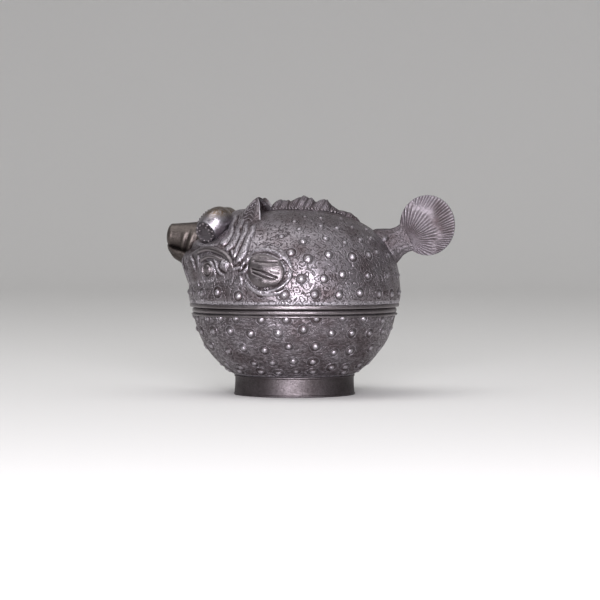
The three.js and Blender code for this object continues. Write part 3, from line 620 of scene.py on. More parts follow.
# Each stroke: its form, its line as turn, height, turn, height and so on, its half width or widths along the line,
# its height, and the share of it that tapers at each end.
headStrokes = [
    # flutes that run down from the dome and the ear side by side, and the long fold before the fin
    ("roll", [24, 51.8, 32, 51, 42.9, 48.9, 47.1, 46.8, 48.2, 45, 47.2, 43.6], [0.8, 1.1, 1.45, 1.6, 1.5, 0.9], 0.6,
     0.1),
    ("roll", [38, 52.2, 46, 50.4, 52.4, 48.2, 54.8, 46.1, 55.2, 44.6, 54.2, 43.2, 52.2, 42.6], [0.8, 1.2, 1.35, 1.3,
     1.1, 0.6], 0.5, 0.1),
    ("roll", [52, 50.6, 57.6, 48.6, 59.7, 46.5, 60.4, 44.8, 60.3, 43.2, 59.4, 41.8], [0.8, 1, 0.95, 0.9, 0.6], 0.42,
     0.1),
    ("roll", [61, 50.4, 64.4, 48.4, 64.9, 46.8, 65.4, 45.1, 65.3, 43.5, 64.7, 41.9, 63.6, 40.2, 62.6, 38.9], [0.8,
     1.1, 1.4, 1.4, 1.2, 0.7], 0.65, 0.1),
    ("cut", [33, 51.6, 48.6, 48.3, 51.6, 46.1, 51.7, 44.6, 50.2, 43.3], 0.26, 0.4, 0.1),
    ("cut", [50, 49.8, 56.3, 47.5, 57.8, 46, 58.5, 44.6, 58.1, 43.3, 56, 42.3], 0.26, 0.35, 0.1),
    ("cut", [66.9, 47.5, 67.7, 43.5, 68, 41.4, 66.6, 40.4, 64.4, 39.4, 62.4, 38.5], 0.35, 0.45, 0.1),
    # a lip round the underside of the dome
    ("roll", [12, 44.6, 20, 43.9, 29, 43.5, 38, 43.5, 43, 43.8], [0.4, 0.7, 0.75, 0.6], 0.25, 0.2),
    ("cut", [58.4, 39.4, 60.6, 41.1, 62.3, 42], 0.3, 0.35, 0.2),
    ("cut", [54.6, 42.6, 57.1, 41.1, 58.5, 39.3], 0.3, 0.35, 0.2),
    ("roll", [56.8, 42.7, 58.5, 41.3], 0.35, 0.35, 0.2),
    ("roll", [60.5, 42, 59.7, 40.7], 0.35, 0.35, 0.2),
    # the swelling behind the eye, and the crescents between it and the eye
    ("swell", [51.6, 38.9, 54.8, 38.5, 58, 38.2], 1.2, 0.9, 0.3),
    ("cut", [46.8, 39.9, 49.2, 38.4, 51.1, 37.4, 53.1, 36.7, 56.4, 36.1], 0.3, 0.5, 0.15),
    ("roll", [43, 39.3, 45.4, 38.8, 47.5, 37.7, 48.6, 36.6, 48.9, 35.2], [0.2, 0.4, 0.4, 0.2], 0.5, 0.2),
    ("roll", [46.6, 40, 48.8, 38.9, 50.3, 37.4, 52.1, 36.3, 54.6, 35.8], [0.2, 0.42, 0.45, 0.3], 0.5, 0.2),
    ("cut", [36, 38.2, 38.3, 39.2, 41, 39.2, 43.8, 38.4, 45.7, 37.5, 46.5, 36.4, 45.9, 35.3], 0.3, 0.42, 0.12),
    ("cut", [59.3, 38.1, 61.9, 38.6, 64.2, 39.2], 0.28, 0.3, 0.2),
    ("roll", [59.9, 37.3, 62.7, 37.6, 65.2, 37.9], 0.42, 0.4, 0.2),
    # the crease where the cheeks meet the snout
    ("cut", [-12, 42.4, 0, 42.6, 11, 42.1, 19, 41.9, 25, 43, 29, 45.2], 1.5, 1.2, 0.1),
    # upright folds between the eye and the snout, and down the throat
    ("roll", [24.6, 40.4, 27.9, 39.4, 30.2, 38.7, 31.5, 37.7, 32.3, 36.5], [0.3, 0.5, 0.5, 0.3], 0.6, 0.2),
    ("roll", [33, 40.6, 34.7, 39.2, 35.6, 37.5], [0.2, 0.32, 0.2], 0.35, 0.2),
    ("roll", [11, 39.6, 13.6, 37.9, 17.4, 36.2, 19.2, 35], [0.3, 0.55, 0.5, 0.3], 0.5, 0.2),
    ("cut", [19.4, 40, 18.7, 38.4, 21.6, 36.2], 0.45, 0.45, 0.2),
    ("roll", [18.8, 35.8, 19.6, 34.2, 19.6, 32.3], [0.2, 0.35, 0.2], 0.3, 0.2),
    ("roll", [33.2, 34.4, 33, 32.2], 0.32, 0.3, 0.2),
    ("roll", [37.4, 35.2, 39.9, 33.5], 0.32, 0.3, 0.2),
    ("cut", [48.2, 35, 47.6, 34, 45, 32.8], 0.28, 0.25, 0.2),
    # the two curls at the fin's root, the comma below them and the dark line round them
    ("roll", [70, 40.9, 68.1, 39.8, 66.5, 38.6, 65, 37.1], [0.4, 0.6, 0.55, 0.3], 0.6, 0.2),
    ("roll", [70.2, 38.4, 69, 37.4, 66.9, 36.5, 64.9, 36.4], [0.4, 0.55, 0.5, 0.3], 0.55, 0.2),
    ("cut", [68, 40, 67.4, 38.6, 65.8, 37.6], 0.26, 0.4, 0.2),
    ("roll", [65, 35.7, 66, 34.4, 66.6, 32.7], [0.3, 0.6, 0.3], 0.6, 0.2),
    ("cut", [62.7, 35.4, 63.3, 32], 0.6, 0.3, 0.2),
    ("cut", [64.4, 36.1, 67, 36, 68.8, 34.9, 70.6, 33.9, 73.4, 32.8], 0.4, 0.4, 0.2),
    # the groove round the fin, the welts outside it and two loose strokes behind
    ("cut", [69, 40.9, 73.1, 41.8, 78.1, 42.1, 81.9, 41.7, 85.7, 40.9, 89.3, 39.6, 91.1, 38.1, 90.9, 36.3,
     89.5, 34.8, 87.7, 33.8, 85.4, 32.9, 81.9, 32.2, 77.9, 31.9, 74, 32.5, 70, 34.1], 0.4, 0.5, 0.05),
    ("roll", [69, 41.9, 71.7, 42.6, 75.4, 43.1, 78.7, 43, 83.1, 42.5, 86.1, 41.8, 89.6, 40.6], [0.3, 0.45, 0.45,
     0.4, 0.3], 0.3, 0.2),
    ("roll", [93.4, 35.7, 91.8, 34.3, 90, 33.3, 87, 32.2, 83, 31.5], [0.3, 0.45, 0.3], 0.35, 0.2),
    ("cut", [89.6, 39.5, 91.2, 38.4, 92.9, 37.7, 95, 37.6], 0.28, 0.3, 0.2),
    ("cut", [94.6, 34.9, 91.8, 33.3, 88.4, 31.9, 86.2, 31.3, 84, 31.2], 0.28, 0.25, 0.2),
]


def patchMesh(name, turns, heights, across, up, liftOf, mirror):
    # A sheet over part of the lid: each point stands off the wall along the wall's facing by its own lift, and
    # where there is no relief the sheet dips just under the wall. Its back lies a little deeper.
    turn = np.linspace(*turns, across)[None, :] + np.zeros((up, 1))
    length = np.linspace(*lengthAt(heights), up)[:, None] + np.zeros((1, across))
    wall, out = lidSpot(turn, length)
    lift = liftOf(turn, wall)
    front, back = ((wall + out * off[..., None]) * [1, mirror, 1]
                   for off in (lift, np.minimum(lift, 0) - head["sheet"]))
    return slabMesh(name, front, back)


def raised(wall, out, top, foot, mirror):
    # The wall's points moved out to the height top, and one more row at the height foot, which tucks the edge in.
    return np.concatenate([wall + out * top[..., None], (wall + out * foot[..., None])[-1:]]) * [1, mirror, 1]


def cheekLift(turn, wall):
    lift = maskLift(turn, wall[..., 2])
    lift = lift + addStrokes(np.zeros(lift.shape), wall, headStrokes)
    lift = lift - head["dip"] * (1 - step(0.02, 0.35, lift))
    return lift - 0.5 * step(0, 4, -turn)  # past the middle plane each half slips under the other


def makeCheek(name, mirror):
    mesh = patchMesh("cheek_and_throat_" + name, (-4, 98), (28.6, 54.2), 285, 172, cheekLift, mirror)
    addPiece(mesh, "lid", "silver_chased", headSilver, "face_mask")


eye = {
    "turn": 43, "height": 36.9, "wide": 5.0, "tall": 4.7, "lean": 15, "proud": 1.0,
    "pitMiddle": (-0.16, -0.34), "pitReach": (0.15, 0.17),  # shares of the eye's half width and half height
    "shares": [0, 0.25, 0.45, 0.58, 0.64, 0.70, 0.76, 0.84, 0.91, 1],
    "rises": [0.80, 0.74, 0.56, 0.30, 0.02, 0, 0.30, 0.42, 0.26, -0.6],
}


def makeEye(name, mirror):
    # Rings of a disc: a raised rim, a groove, then a lens that swells to the middle, with a pit low down in front.
    angle = fullTurn(120)
    share = np.linspace(0.02, 1, 56)[:, None] + 0 * angle
    a, b = share * np.cos(angle), share * np.sin(angle)
    pit = hill(a, b, eye["pitMiddle"], eye["pitReach"])
    rise = soften(np.interp(share, eye["shares"], eye["rises"]), 1) - 0.5 * pit
    lean = math.radians(eye["lean"])
    a, b = a * eye["wide"] / 2, b * eye["tall"] / 2
    along, up = a * math.cos(lean) - b * math.sin(lean), a * math.sin(lean) + b * math.cos(lean)
    turn = eye["turn"] + np.degrees(along / radiusAt(eye["height"]))
    wall, out = lidSpot(turn, lengthAt(eye["height"]) + up)
    base = maskLift(turn, wall[..., 2])
    points = raised(wall, out, base + 0.1 + rise * eye["proud"], base - 0.9, mirror)
    # The groove round the lens is darkened as painted shade, and the pit is darkened too.
    groove = bell(share, 0.67, 0.06) + pit
    mesh = gridMesh("cheek_eye_" + name, points, 2, dark=np.concatenate([groove, groove[-1:] * 0]) * 0.8)
    addPiece(mesh, "lid", "silver_polished", reliefSilver, "eye_" + name)


browStrokes = [
    ("roll", [31, 41, 36.2, 41.8, 40.4, 42.3, 45.1, 42.2, 49.5, 41.8, 53.7, 41.2, 57, 40.2, 59.2, 39, 60.1, 37.5],
     [0.55, 0.8, 0.95, 0.95, 0.85, 0.75, 0.5], 0.95, 0.1),
    ("roll", [36.2, 38.7, 39, 39.7, 41.3, 40.2, 44.2, 40.4, 47.9, 40.3, 51.8, 39.9, 55.9, 39.4], [0.35, 0.6, 0.6,
     0.6, 0.35], 0.6, 0.15),
    ("cut", [32.4, 40.3, 36.4, 41, 38.8, 41.4, 41.9, 41.5, 45.6, 41.3, 49.8, 40.8, 53.4, 40], 0.22, 0.25, 0.15),
]


def browLift(turn, wall):
    relief = addStrokes(np.zeros(turn.shape), wall, browStrokes)
    return maskLift(turn, wall[..., 2]) + relief - 0.5 * (1 - step(0.06, 0.3, relief))


def makeBrow(name, mirror):
    mesh = patchMesh("brow_roll_" + name, (28, 63), (36.2, 44.4), 250, 100, browLift, mirror)
    addPiece(mesh, "lid", "silver_chased", reliefSilver, "brow_" + name)


fin = {
    # (turn, height) round the leaf's outline, from the middle of its blunt root up over the top
    "outline": [
        (70, 37.4), (70.3, 39.6), (71.6, 40.9), (74.4, 41.4), (78.5, 41.5), (83, 40.9), (86.9, 39.8), (89, 38.5),
        (89.9, 36.9), (89.6, 35.4), (88.1, 34), (85.3, 33), (80.2, 32.3), (76.3, 32.4), (73.2, 33.3), (70.9, 35),
    ],
    "middle": (79.6, 37), "high": 1.65,
}
finStrokes = [
    ("swell", [75, 38.2, 81, 37.6, 86, 37], 1.1, 0.3, 0.3),
    ("swell", [76.5, 34.2, 81, 33.6, 85, 33.7], 0.8, 0.25, 0.3),
    ("swell", [74.5, 40.4, 79, 40.4, 83, 40], 0.5, 0.22, 0.3),
    ("cut", [72, 39.4, 79.3, 39.1, 82.6, 39, 87, 39.2], 0.26, 0.42, 0.12),
    ("cut", [71.4, 37.6, 75, 37, 78.5, 36.6, 81.5, 35.9, 84.2, 35.3, 87.2, 34.8], 0.26, 0.5, 0.12),
    ("cut", [72, 36.7, 77.5, 35.5, 82, 34.8, 86, 34.6], 0.28, 0.45, 0.12),
    ("cut", [82, 36.6, 85, 36.2, 88, 36.2], 0.18, 0.16, 0.2),
]


def makeFin(name, mirror):
    # Rays from the middle to a smooth closed outline; an arch of height sqrt(1 - share^2.4), then lobes and grooves.
    outline, spans = np.array(fin["outline"]), 2100  # spans of the smooth outline, which runs on past its own ends
    loop = smoothPath(np.vstack([outline[-3:], outline, outline[:3]]), spans + 1)
    start, end = 3 / (len(outline) + 5), 1 - 2 / (len(outline) + 5)
    pick = np.linspace(start, end, 240, endpoint=False) * spans
    share = np.concatenate([np.linspace(0.02, 0.9, 66), np.linspace(0.91, 1, 14)])[:, None]
    turn, height = (middle + share * (np.interp(pick, np.arange(spans + 1), line) - middle)
                    for middle, line in zip(fin["middle"], loop.T))
    wall, out = lidSpot(turn, lengthAt(height))
    arch = fin["high"] * (0.3 + 0.7 * np.sqrt(np.clip(1 - share**2.4, 0, 1))) + 0 * turn
    lift = addStrokes(arch, wall, finStrokes) * np.sqrt(np.clip((1 - share) / 0.04, 0, 1))
    base = maskLift(turn, height)
    mesh = gridMesh("fluted_fin_" + name, raised(wall, out, base + lift - 0.15, base - 0.8, mirror), 4)
    addPiece(mesh, "lid", "silver_polished", reliefSilver, "side_fin_" + name)


for name, mirror in side.items():
    makeCheek(name, mirror)
    makeEye(name, mirror)
    makeBrow(name, mirror)
    makeFin(name, mirror)
print("face relief made")


dome = {
    "middle": (-22.7, -9.2, 50.1), "halves": (6, 7.2, 4.5), "slant": 47, "squareness": 2.2,
    "discFaces": (-0.36, -0.86, -0.36), "discReach": 6.1, "discRadius": 2.6, "granule": 0.4,
    # (degrees round the disc, share of its radius) of each granule on the disc, then the row of them in front
    "ring": [
        (4, 1), (32, 1.05), (61, 0.96), (88, 1.04), (118, 0.98), (146, 1.06), (172, 0.94), (201, 1.02), (229, 0.97),
        (258, 1.05), (287, 1), (314, 1.04), (340, 0.96), (150, 0.62), (192, 0.58), (112, 0.66), (20, 0.7),
    ],
    "row": [
        (-27.6, -12, 49.4), (-27, -11.4, 50.8), (-26.4, -11, 52.2), (-25.6, -10.6, 53.4), (-24.4, -10.4, 54.4),
    ],
}


def addGranules(name, centres, radius):
    # Small balls of eight by six faces, one at each centre, joined into one mesh.
    shape = ball(np.linspace(0, math.pi, 7)[1:-1], 8) * radius
    sizes = chance.uniform(0.72, 1.08, len(centres))
    parts = [placed(gridMesh(name, centre + size * shape, 1, dark=0.35)) for centre, size in zip(centres, sizes)]
    with bpy.context.temp_override(active_object=parts[0], selected_editable_objects=parts):
        bpy.ops.object.join()
    addPiece(parts[0], "lid", "silver_plain", plainSilver)


def makeDome(name, mirror):
    # A squarish oval ball, slanting up and back, with a shallow dish sunk into its side: points near the disc's axis
    # are moved to 0.3 under the disc's plane, plus 0.25 * (distance / radius)^2, and a low rim stands round it.
    middle, halves, reach = np.array(dome["middle"]), np.array(dome["halves"]), dome["discRadius"]
    shape, power = ball(np.linspace(0.02, 0.98, 110) * math.pi, 170), dome["squareness"]
    shape /= (np.abs(shape) ** power).sum(-1, keepdims=True) ** (1 / power)
    slant = math.radians(dome["slant"])
    tilted = np.array([[math.cos(slant), 0, math.sin(slant)], [0, 1, 0], [-math.sin(slant), 0, math.cos(slant)]])
    points = middle + (shape * halves) @ tilted
    out = np.array(dome["discFaces"])
    out /= np.linalg.norm(out)
    disc = middle + out * dome["discReach"]
    along = (points - disc) @ out
    aside = np.linalg.norm(points - disc - along[..., None] * out, axis=-1)
    ahead = (points - middle) @ out > 0.5
    drum = np.where(ahead, step(1.22, 1.02, aside / reach), 0)
    points = points + out * ((-0.3 - along + 0.25 * (aside / reach) ** 2) * drum)[..., None]
    points = points + out * (bell(aside, reach * 1.3, 0.3) * ahead * 0.15)[..., None]
    points[..., 1] = np.minimum(points[..., 1], -0.12)  # the two domes stay clear of each other
    dark = np.where(ahead, step(1.45, 1.15, aside / reach), 0) * 0.85
    dark = np.maximum(dark, 0.75 * bell(distanceTo(points, smoothPath(dome["row"], 12))[0], 0, 1.5))
    brown = step(51.6, 54.0, points[..., 2]) * 0.9
    mesh = gridMesh("brow_bulge_" + name, points * [1, mirror, 1], 4, dark=dark, brown=brown)
    addPiece(mesh, "lid", "silver_polished", brightSilver, "brow_dome_" + name)
    level = np.cross(out, [0, 0, 1])
    level /= np.linalg.norm(level)
    upright = np.cross(level, out)
    turns, shares = np.array(dome["ring"]).T[..., None]
    turns = np.radians(turns)
    centres = disc + reach * shares * (np.cos(turns) * level + np.sin(turns) * upright) + out * 0.05
    row = smoothPath(dome["row"], 8)
    row = middle + (row - middle) / np.linalg.norm((row - middle) @ tilted.T / halves, axis=1)[:, None]
    addGranules("granules_" + name, np.vstack([centres, row]) * [1, mirror, 1], dome["granule"])


snout = {
    "root": (-25.5, 45.6), "tip": (-38.1, 47.4),  # (x, height)
    # shares of the way from the root to the tip, and half the height there
    "shares": [-0.4, 0, 0.1, 0.3, 0.42, 0.55, 0.7, 0.86], "sizes": [5.6, 5.6, 5.5, 5.05, 4.7, 4.3, 3.9, 3.45],
}


def makeSnout():
    # Ovals along a line from inside the lid to the tip. Their size swells over two wrinkle folds near the root, and
    # the ovals lean back over the folds and stand more upright at the tip, which is rounded off.
    rounded = 0.14  # the last share of the line
    share = np.concatenate([np.linspace(-0.4, 0.86, 130),
                            1 - rounded * np.cos(np.linspace(0, math.pi / 2, 26)[1:])])[:, None]
    fold = 0.36 * bell(share, 0.38, 0.05) + 0.3 * bell(share, 0.56, 0.055)
    fold -= 0.34 * bell(share, 0.27, 0.04) + 0.3 * bell(share, 0.47, 0.035)
    angle = fullTurn(120)
    fold = fold * step(0.9, -0.3, np.sin(angle))  # it fades out over the top
    blunt = np.clip((share - 0.86) / rounded, 0, 1)
    size = (np.interp(share, snout["shares"], snout["sizes"]) + fold) * np.sqrt(np.clip(1 - blunt**2.6, 0, 1))
    size = np.where(share > 0.86, np.maximum(size, 0.12), size)
    (rootX, rootZ), (tipX, tipZ) = snout["root"], snout["tip"]
    lean, up = 0.12 + 0.18 * step(0.8, 0.35, share), size * np.sin(angle)
    points = np.stack([rootX + (tipX - rootX) * share + lean * up, size * 0.94 * np.cos(angle),
                       rootZ + (tipZ - rootZ) * share + up], -1)
    mesh = gridMesh("wrinkled_snout", points, 4)
    addPiece(mesh, "lid", "silver_gold_brown", brownSilver, "snout")


jaw = {
    # from the tip back into the throat: place along x, heights of its under side and rim, half its width
    "stations": [
        (-38, 43.3, 44.2, 0.7), (-37.2, 42, 43.7, 2), (-36, 40.3, 42.9, 2.9), (-34, 39, 42.3, 3.6),
        (-32.4, 37.6, 41.8, 4.2), (-29.5, 36.2, 41.3, 4.8),
    ],
    "lip": 0.3,
}


def makeJaw():
    # A trough under the snout: the lower half of an oval from rim to rim, nearly level across the top, closed in at
    # the tip, with a bead along each rim and a groove under the bead.
    x, low, high, half = smoothPath(jaw["stations"], 90).T[..., None]
    share, closed = np.linspace(0, 1, 90)[:, None], 0.12
    closing = np.where(share > closed, 1, np.sqrt(np.clip(1 - (1 - share / closed) ** 2, 0.02, 1)))
    angle = fullTurn(150)
    below = np.minimum(np.abs(angle - math.radians(348)), np.abs(angle - math.radians(192)))
    bead = jaw["lip"] * bell(below, 0, 0.17) - 0.2 * bell(below, 0.38, 0.14)
    size, rise = closing * (1 + bead / np.maximum(half, 1.5)), np.sin(angle)
    y = half * size * np.cos(angle)
    z = high + np.where(rise > 0, 0.6, high - low) * size * rise
    mesh = gridMesh("lower_lip", np.stack([x + 0 * y, y, z], -1))
    addPiece(mesh, "lid", "silver_gold_brown", brownSilver, "lower_jaw")


ear = {
    # foot line from its near rear end, forward round the front, to its far rear end; then the tip
    "foot": [
        (-8.4, -17.2, 50), (-12.2, -16.2, 50), (-15.4, -12.6, 50.6), (-16.4, -8.4, 51.6), (-15, -4.8, 52.8),
        (-11.2, -2.9, 54), (-6.6, -2.6, 54.9),
    ],
    "tip": (-10, -9.4, 58.3), "sheet": 0.8,
}


def makeEar(name, mirror):
    # A half cone, open behind: the foot line on the head is carried up to the tip, v from 0 to 1, while it narrows by
    # sqrt((1 - v) * (1.2 - v) / 1.2), which rounds the tip. Its inside is the same sheet moved in by its thickness.
    # Wavy rolls cross its front.
    v = np.linspace(-0.16, 0.985, 130)[:, None, None]
    u = np.linspace(0, 1, 150)[None, :, None]
    foot = smoothPath(ear["foot"], 150)[None]
    centre = foot.mean(axis=1, keepdims=True)
    middle = centre * (1 - v) + np.array(ear["tip"]) * v
    outer = middle + (foot - centre) * np.sqrt((1 - v) * (1.2 - v) / 1.2)
    out = outer - middle
    out[..., 2] = 0
    width = np.linalg.norm(out, axis=-1, keepdims=True)
    out /= np.maximum(width, 1e-6)
    scales = np.maximum(np.sin(v * 46 + 3.5 * np.sin(u * 24)), 0) * step(0.06, 0.2, u) * step(0.94, 0.8, u)
    rim = bell(u, 0, 0.05) + bell(u, 1, 0.05)
    # The mark dark is painted shade between the scale rolls, kept off the rims; the inside sheet takes the same
    # stripes.
    dark = (0.65 * (1 - scales) * step(0.05, 0.12, u) * step(0.95, 0.88, u))[..., 0]
    relief = 0.3 * scales * step(0.0, 0.1, v) * step(0.99, 0.85, v) + 0.35 * rim * step(1.0, 0.8, v)
    outer = outer + out * (0.1 * np.sin(math.pi * np.clip(v, 0, 1)) + relief)
    inner = outer - out * (np.minimum(ear["sheet"], width * 0.8) + relief) - [0, 0, 0.3]
    mesh = slabMesh("pointed_ear_" + name, outer * [1, mirror, 1], inner * [1, mirror, 1], dark=dark)
    addPiece(mesh, "lid", "silver_chased", scaleSilver, "ear_" + name)


crest = {
    # (place along the spine, height over the lid) of the uneven top, in mm
    "top": [
        (-7.4, 0.3), (-6.5, 1.9), (-5.7, 2.5), (-4.5, 3), (-3.9, 3.15), (-3.1, 2.9), (-2.5, 2.65), (-1.7, 2.9),
        (-1, 2.6), (-0.1, 2.9), (1.4, 3.7), (2.6, 4.3), (3.4, 3.9), (4.2, 3.75), (5.2, 3.6), (6, 2.8), (6.8, 2.7),
        (7.8, 3.2), (9, 3.7), (9.8, 3.7), (10.3, 2.8), (11.1, 2.3), (12.1, 1.6), (13.3, 1.25), (15.1, 1.4),
        (16.7, 1.5), (17.7, 1.1), (18.5, 0.9), (19.4, 0.2),
    ],
    "half": 2.3, "leafPitch": 2.5, "flutePitch": 0.62, "bead": 0.5,
}


def makeCrest():
    # A ridge along the spine: its section is an arch and its sides are leaning leaves, |sin|^0.5 along the spine,
    # with fine flutes on each leaf. A row of beads stands along each foot.
    places, heights = np.transpose(crest["top"])
    start, end = places[[0, -1]]
    x = np.linspace(start, end, 440)[:, None]
    rise = soften(np.interp(x, places, heights), 2)
    half = crest["half"] * np.interp(x, [start, -5.5, 2, 9.5, 12.5, end], [0.35, 0.85, 1.0, 0.9, 0.5, 0.25])
    wide, tall = np.cos(fullTurn(110)), np.sin(fullTurn(110))
    up = np.where(tall > 0, rise * np.abs(tall) ** 1.3, 1.1 * tall)
    leaning = x - 0.5 * up
    leaf = np.sqrt(np.abs(np.sin(math.pi * leaning / crest["leafPitch"])))
    flute = np.cos(2 * math.pi * (leaning + 0.12 * np.sin(2.1 * leaning)) / crest["flutePitch"])
    away = np.sign(wide) * np.clip(tall * 4, 0, 1) * np.clip(np.abs(wide) * 4, 0, 1)
    y = half * np.sign(wide) * np.abs(wide) ** 1.15 + away * (0.55 * (leaf - 0.7) + 0.09 * flute)
    points = np.stack([x + 0 * y, y, levelAt(np.abs(x)) + up * (0.9 + 0.13 * leaf)], -1)
    # The mark dark: an even darker tone of 0.4, plus painted shade in the creases between the leaves over the top.
    mesh = gridMesh("spine_crest", points, dark=0.4 + 0.5 * (1 - leaf) * np.clip(tall * 3, 0, 1))
    addPiece(mesh, "lid", "silver_chased", scaleSilver, "back_crest")
    rows = np.linspace(-6, 14, 22)
    reach = np.interp(rows, x[:, 0], half[:, 0]) + 0.25
    level = levelAt(np.hypot(rows, reach)) + 0.4
    beads = np.concatenate([np.stack([rows, across * reach, level], -1) for across in (-1, 1)])
    addGranules("crest_foot_beads", beads, crest["bead"])


stalk = {
    "start": (21.35, 40.8), "end": (33.8, 46.8), "places": [0, 0.45, 0.58, 0.73, 0.86, 1],
    "tall": [6.6, 6.2, 5.3, 4.25, 4.05, 4.45], "thick": [4.9, 3.3, 2.6, 1.9, 1.4, 0.8],
    "bosses": [(27, 46.2), (29.4, 41.9), (25.2, 42.2)], "boss": (0.8, 0.5),  # radius and height
}


def makeStalk():
    # Ovals from inside the lid out to the fan's root, wide and thick at the wall and flat at the fan, with long
    # flutes and three low bosses on each side, each its height times exp(-(d / radius)^3).
    share, angle = np.linspace(-0.05, 1, 150)[:, None], fullTurn(150)
    start = np.array(stalk["start"])
    path = stalk["end"] - start
    across = [-path[1], path[0]] / np.linalg.norm(path)
    half, thick = (soften(np.interp(share, stalk["places"], stalk[key]), 4) for key in ("tall", "thick"))
    flutes = 1 + 0.02 * np.cos(14 * angle) * step(0.45, 0.7, share)
    aside = half * np.cos(angle) * flutes
    x, z = (start[k] + path[k] * share + across[k] * aside for k in (0, 1))
    y = thick * np.sin(angle) * flutes
    radius, high = stalk["boss"]
    for bossX, bossZ in stalk["bosses"]:
        away = ((x - bossX) ** 2 + (z - bossZ) ** 2) / radius**2
        y = y + np.sign(np.sin(angle)) * high * np.exp(-away ** 1.5)
    mesh = gridMesh("tail_neck", np.stack([x, y, z], -1), 4, dark=0.62)
    addPiece(mesh, "lid", "silver_chased", headSilver, "tail_stalk")


fan = {
    "middle": (39.4, 50.1), "root": (33, 45.6), "wide": 16.4, "tall": 17.9, "thick": 0.7, "dish": 0.5, "behind": 0.35,
    "ribs": 112, "rib": 0.24, "ribsFace": 27, "split": 9.2, "splitRise": 1.6,  # the ribs face 27 degrees up
}


def makeFan():
    # Rays from the root to an oval edge. Each side is a cosine of the ray's turn, with half as many ribs inside
    # "split" as outside it and a shallower band between them in the upper part. The sheet is dished a little.
    angle = np.radians(np.concatenate([np.linspace(-55, 110, 760, endpoint=False),
                                       np.linspace(110, 305, 140, endpoint=False)]))[None, :]
    share = np.concatenate([np.linspace(0.02, 0.97, 46), [0.985, 0.996, 1]])[:, None]
    middle, root = np.array(fan["middle"]), np.array(fan["root"])
    a, b = fan["wide"] / 2, fan["tall"] / 2
    dx, dz = np.cos(angle) / a, np.sin(angle) / b
    px, pz = (root - middle) / (a, b)
    half, square = px * dx + pz * dz, dx**2 + dz**2
    reach = (-half + np.sqrt(half**2 - square * (px**2 + pz**2 - 1))) / square
    turns = fan["ribs"] * angle + 1.3 * np.sin(3 * angle) + 0.7 * np.sin(17 * angle)
    ribbed = np.cos(angle - math.radians(fan["ribsFace"])) > 0.1
    reach = reach * (1 - 0.004 * np.where(ribbed, 1 - np.cos(turns), 0)) * share
    upper = step(-0.2, 0.5, angle)
    split = fan["split"] + fan["splitRise"] * upper + 0.45 * np.sin(9 * angle) + 0.3 * np.sin(23 * angle)
    outer = step(split - 1.5, split + 1.5, reach)
    waves = np.where(ribbed, np.cos(turns / 2) * (1 - outer) + np.cos(turns) * outer, 1)
    calm = 1 - 0.6 * upper * bell(reach, split, 1.1)
    waves = np.where(ribbed, 0.1 + (waves - 0.1) * calm, 1)
    x, z = root[0] + reach * np.cos(angle), root[1] + reach * np.sin(angle)
    bowl = fan["dish"] * (((x - middle[0]) / a) ** 2 + ((z - middle[1]) / b) ** 2) - fan["behind"]
    rib = fan["rib"] * (waves - 1) / 2 * np.clip(reach / 5.5, 0.1, 1)
    edge = np.where(share > 0.97, np.sqrt(np.clip(1 - ((share - 0.97) / 0.03) ** 2, 0, 1)), 1)
    thick = (fan["thick"] / 2 + rib) * edge
    front, back = (np.stack([x, y, z], -1) for y in (bowl - thick, bowl + thick))
    # Darkening, as the mark dark: painted shade in the grooves between the ribs, and darker near the root, in the
    # calm band and by an even tone over the rest.
    shadeAndTone = 0.75 * ((1 - waves) / 2) ** 2 * np.clip(reach / 4, 0, 1)
    shadeAndTone = np.maximum(np.maximum(shadeAndTone, 0.5 * bell(reach, 0, 2.6)), 0.18 + 0.6 * (1 - calm))
    mesh = gridMesh("ribbed_fan", np.concatenate([front, back[::-1]]), 2, dark=np.concatenate([shadeAndTone, shadeAndTone[::-1]]))
    addPiece(mesh, "lid", "silver_polished", fanSilver, "tail_fan")


for name, mirror in side.items():
    makeDome(name, mirror)
    makeEar(name, mirror)
makeSnout()
makeJaw()
makeCrest()
makeStalk()
makeFan()
print("head and tail made")


# Studio: a pale floor that runs up into a pale wall, a soft lamp by the lens and a soft one overhead. Sizes in m.
studio = {
    "floor": "#dbdad8", "sky": "#f4f4f5", "skyLevel": 1.1, "horizonLevel": 0.13,
    "halfWidth": 3, "front": -4, "bend": 0.8, "wall": 2, "wallTop": 4,
}


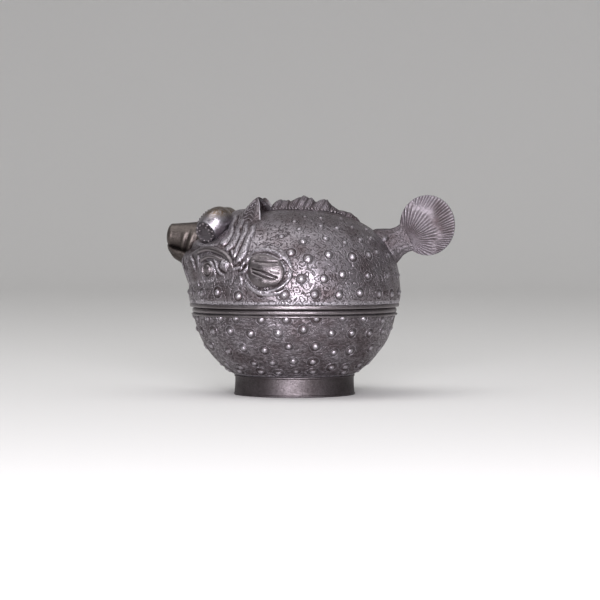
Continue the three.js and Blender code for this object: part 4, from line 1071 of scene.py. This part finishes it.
def makeStudio():
    # The floor is flat, then a quarter circle, then an upright wall.
    x = np.linspace(-studio["halfWidth"], studio["halfWidth"], 3)[None, :]
    radius, turn = studio["bend"], np.linspace(0, math.pi / 2, 20)
    curve = studio["wall"] - radius + radius * np.sin(turn), radius - radius * np.cos(turn)
    run = np.concatenate([[studio["front"]], curve[0], [studio["wall"]]])[:, None]
    rise = np.concatenate([[0], curve[1], [studio["wallTop"]]])[:, None]
    points = np.stack([x + 0 * run, run + 0 * x, rise + 0 * x], -1)
    quads = quadsOf(np.arange(points[..., 0].size).reshape(points.shape[:2]))
    mesh = bpy.data.meshes.new("floor")
    mesh.from_pydata(points.reshape(-1, 3).tolist(), [], quads.tolist())
    mesh.polygons.foreach_set("use_smooth", np.ones(len(quads), bool))
    placed(mesh)
    paper = bpy.data.materials.new("matt_paper")
    mesh.materials.append(paper)
    add = partial(addNode, emptyTree(paper))
    grain = add("TexNoise", {"Vector": add("TexCoord", output="Object"), "Scale": 900})
    bump = add("Bump", {"Height": grain, "Distance": 0.00005, "Strength": 0.3})
    floor = add("BsdfPrincipled", {"Base Color": linear(studio["floor"]), "Roughness": 0.9, "Normal": bump})
    add("OutputMaterial", [floor])
    world = bpy.data.worlds.new("studio")
    add = partial(addNode, emptyTree(world))
    aloft = add("SeparateXYZ", [add("TexCoord", output="Generated")], "Z")
    level = add("MapRange", [aloft, 0.3, 0.95, studio["horizonLevel"], studio["skyLevel"]], **smooth)
    sky = add("Background", {"Color": linear(studio["sky"]), "Strength": level})
    add("OutputWorld", [sky])
    bpy.context.scene.world = world


lamps = {
    "by_the_lens": {"spot": (0.08, -0.78, 0.06), "size": 0.46, "power": 15.5, "colour": "#fbf8ff"},
    "overhead": {"spot": (-0.25, -0.15, 0.75), "size": 0.6, "power": 1.7, "colour": "#ffffff"},
}


def makeLamps():
    for name, settings in lamps.items():
        data = bpy.data.lights.new(name, "AREA")
        data.shape = "DISK"
        data.size = settings["size"]
        data.energy = settings["power"]
        data.color = linear(settings["colour"])[:3]
        lamp = placed(data)
        lamp.location = Vector(settings["spot"]) + Vector((axisX / 1000, 0, 0))
        aim = Vector((axisX / 1000, 0, 0.03)) - lamp.location
        lamp.rotation_euler = aim.to_track_quat("-Z", "Y").to_euler()


makeStudio()
makeLamps()
bpy.context.scene.view_settings.view_transform = "Standard"
print("studio lit")

# A CAD node that is still shown keeps its shape and takes the plain silver.
for name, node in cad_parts.items():
    if not node.hide_render:
        node.data.materials.clear()
        node.data.materials.append(plainSilver)
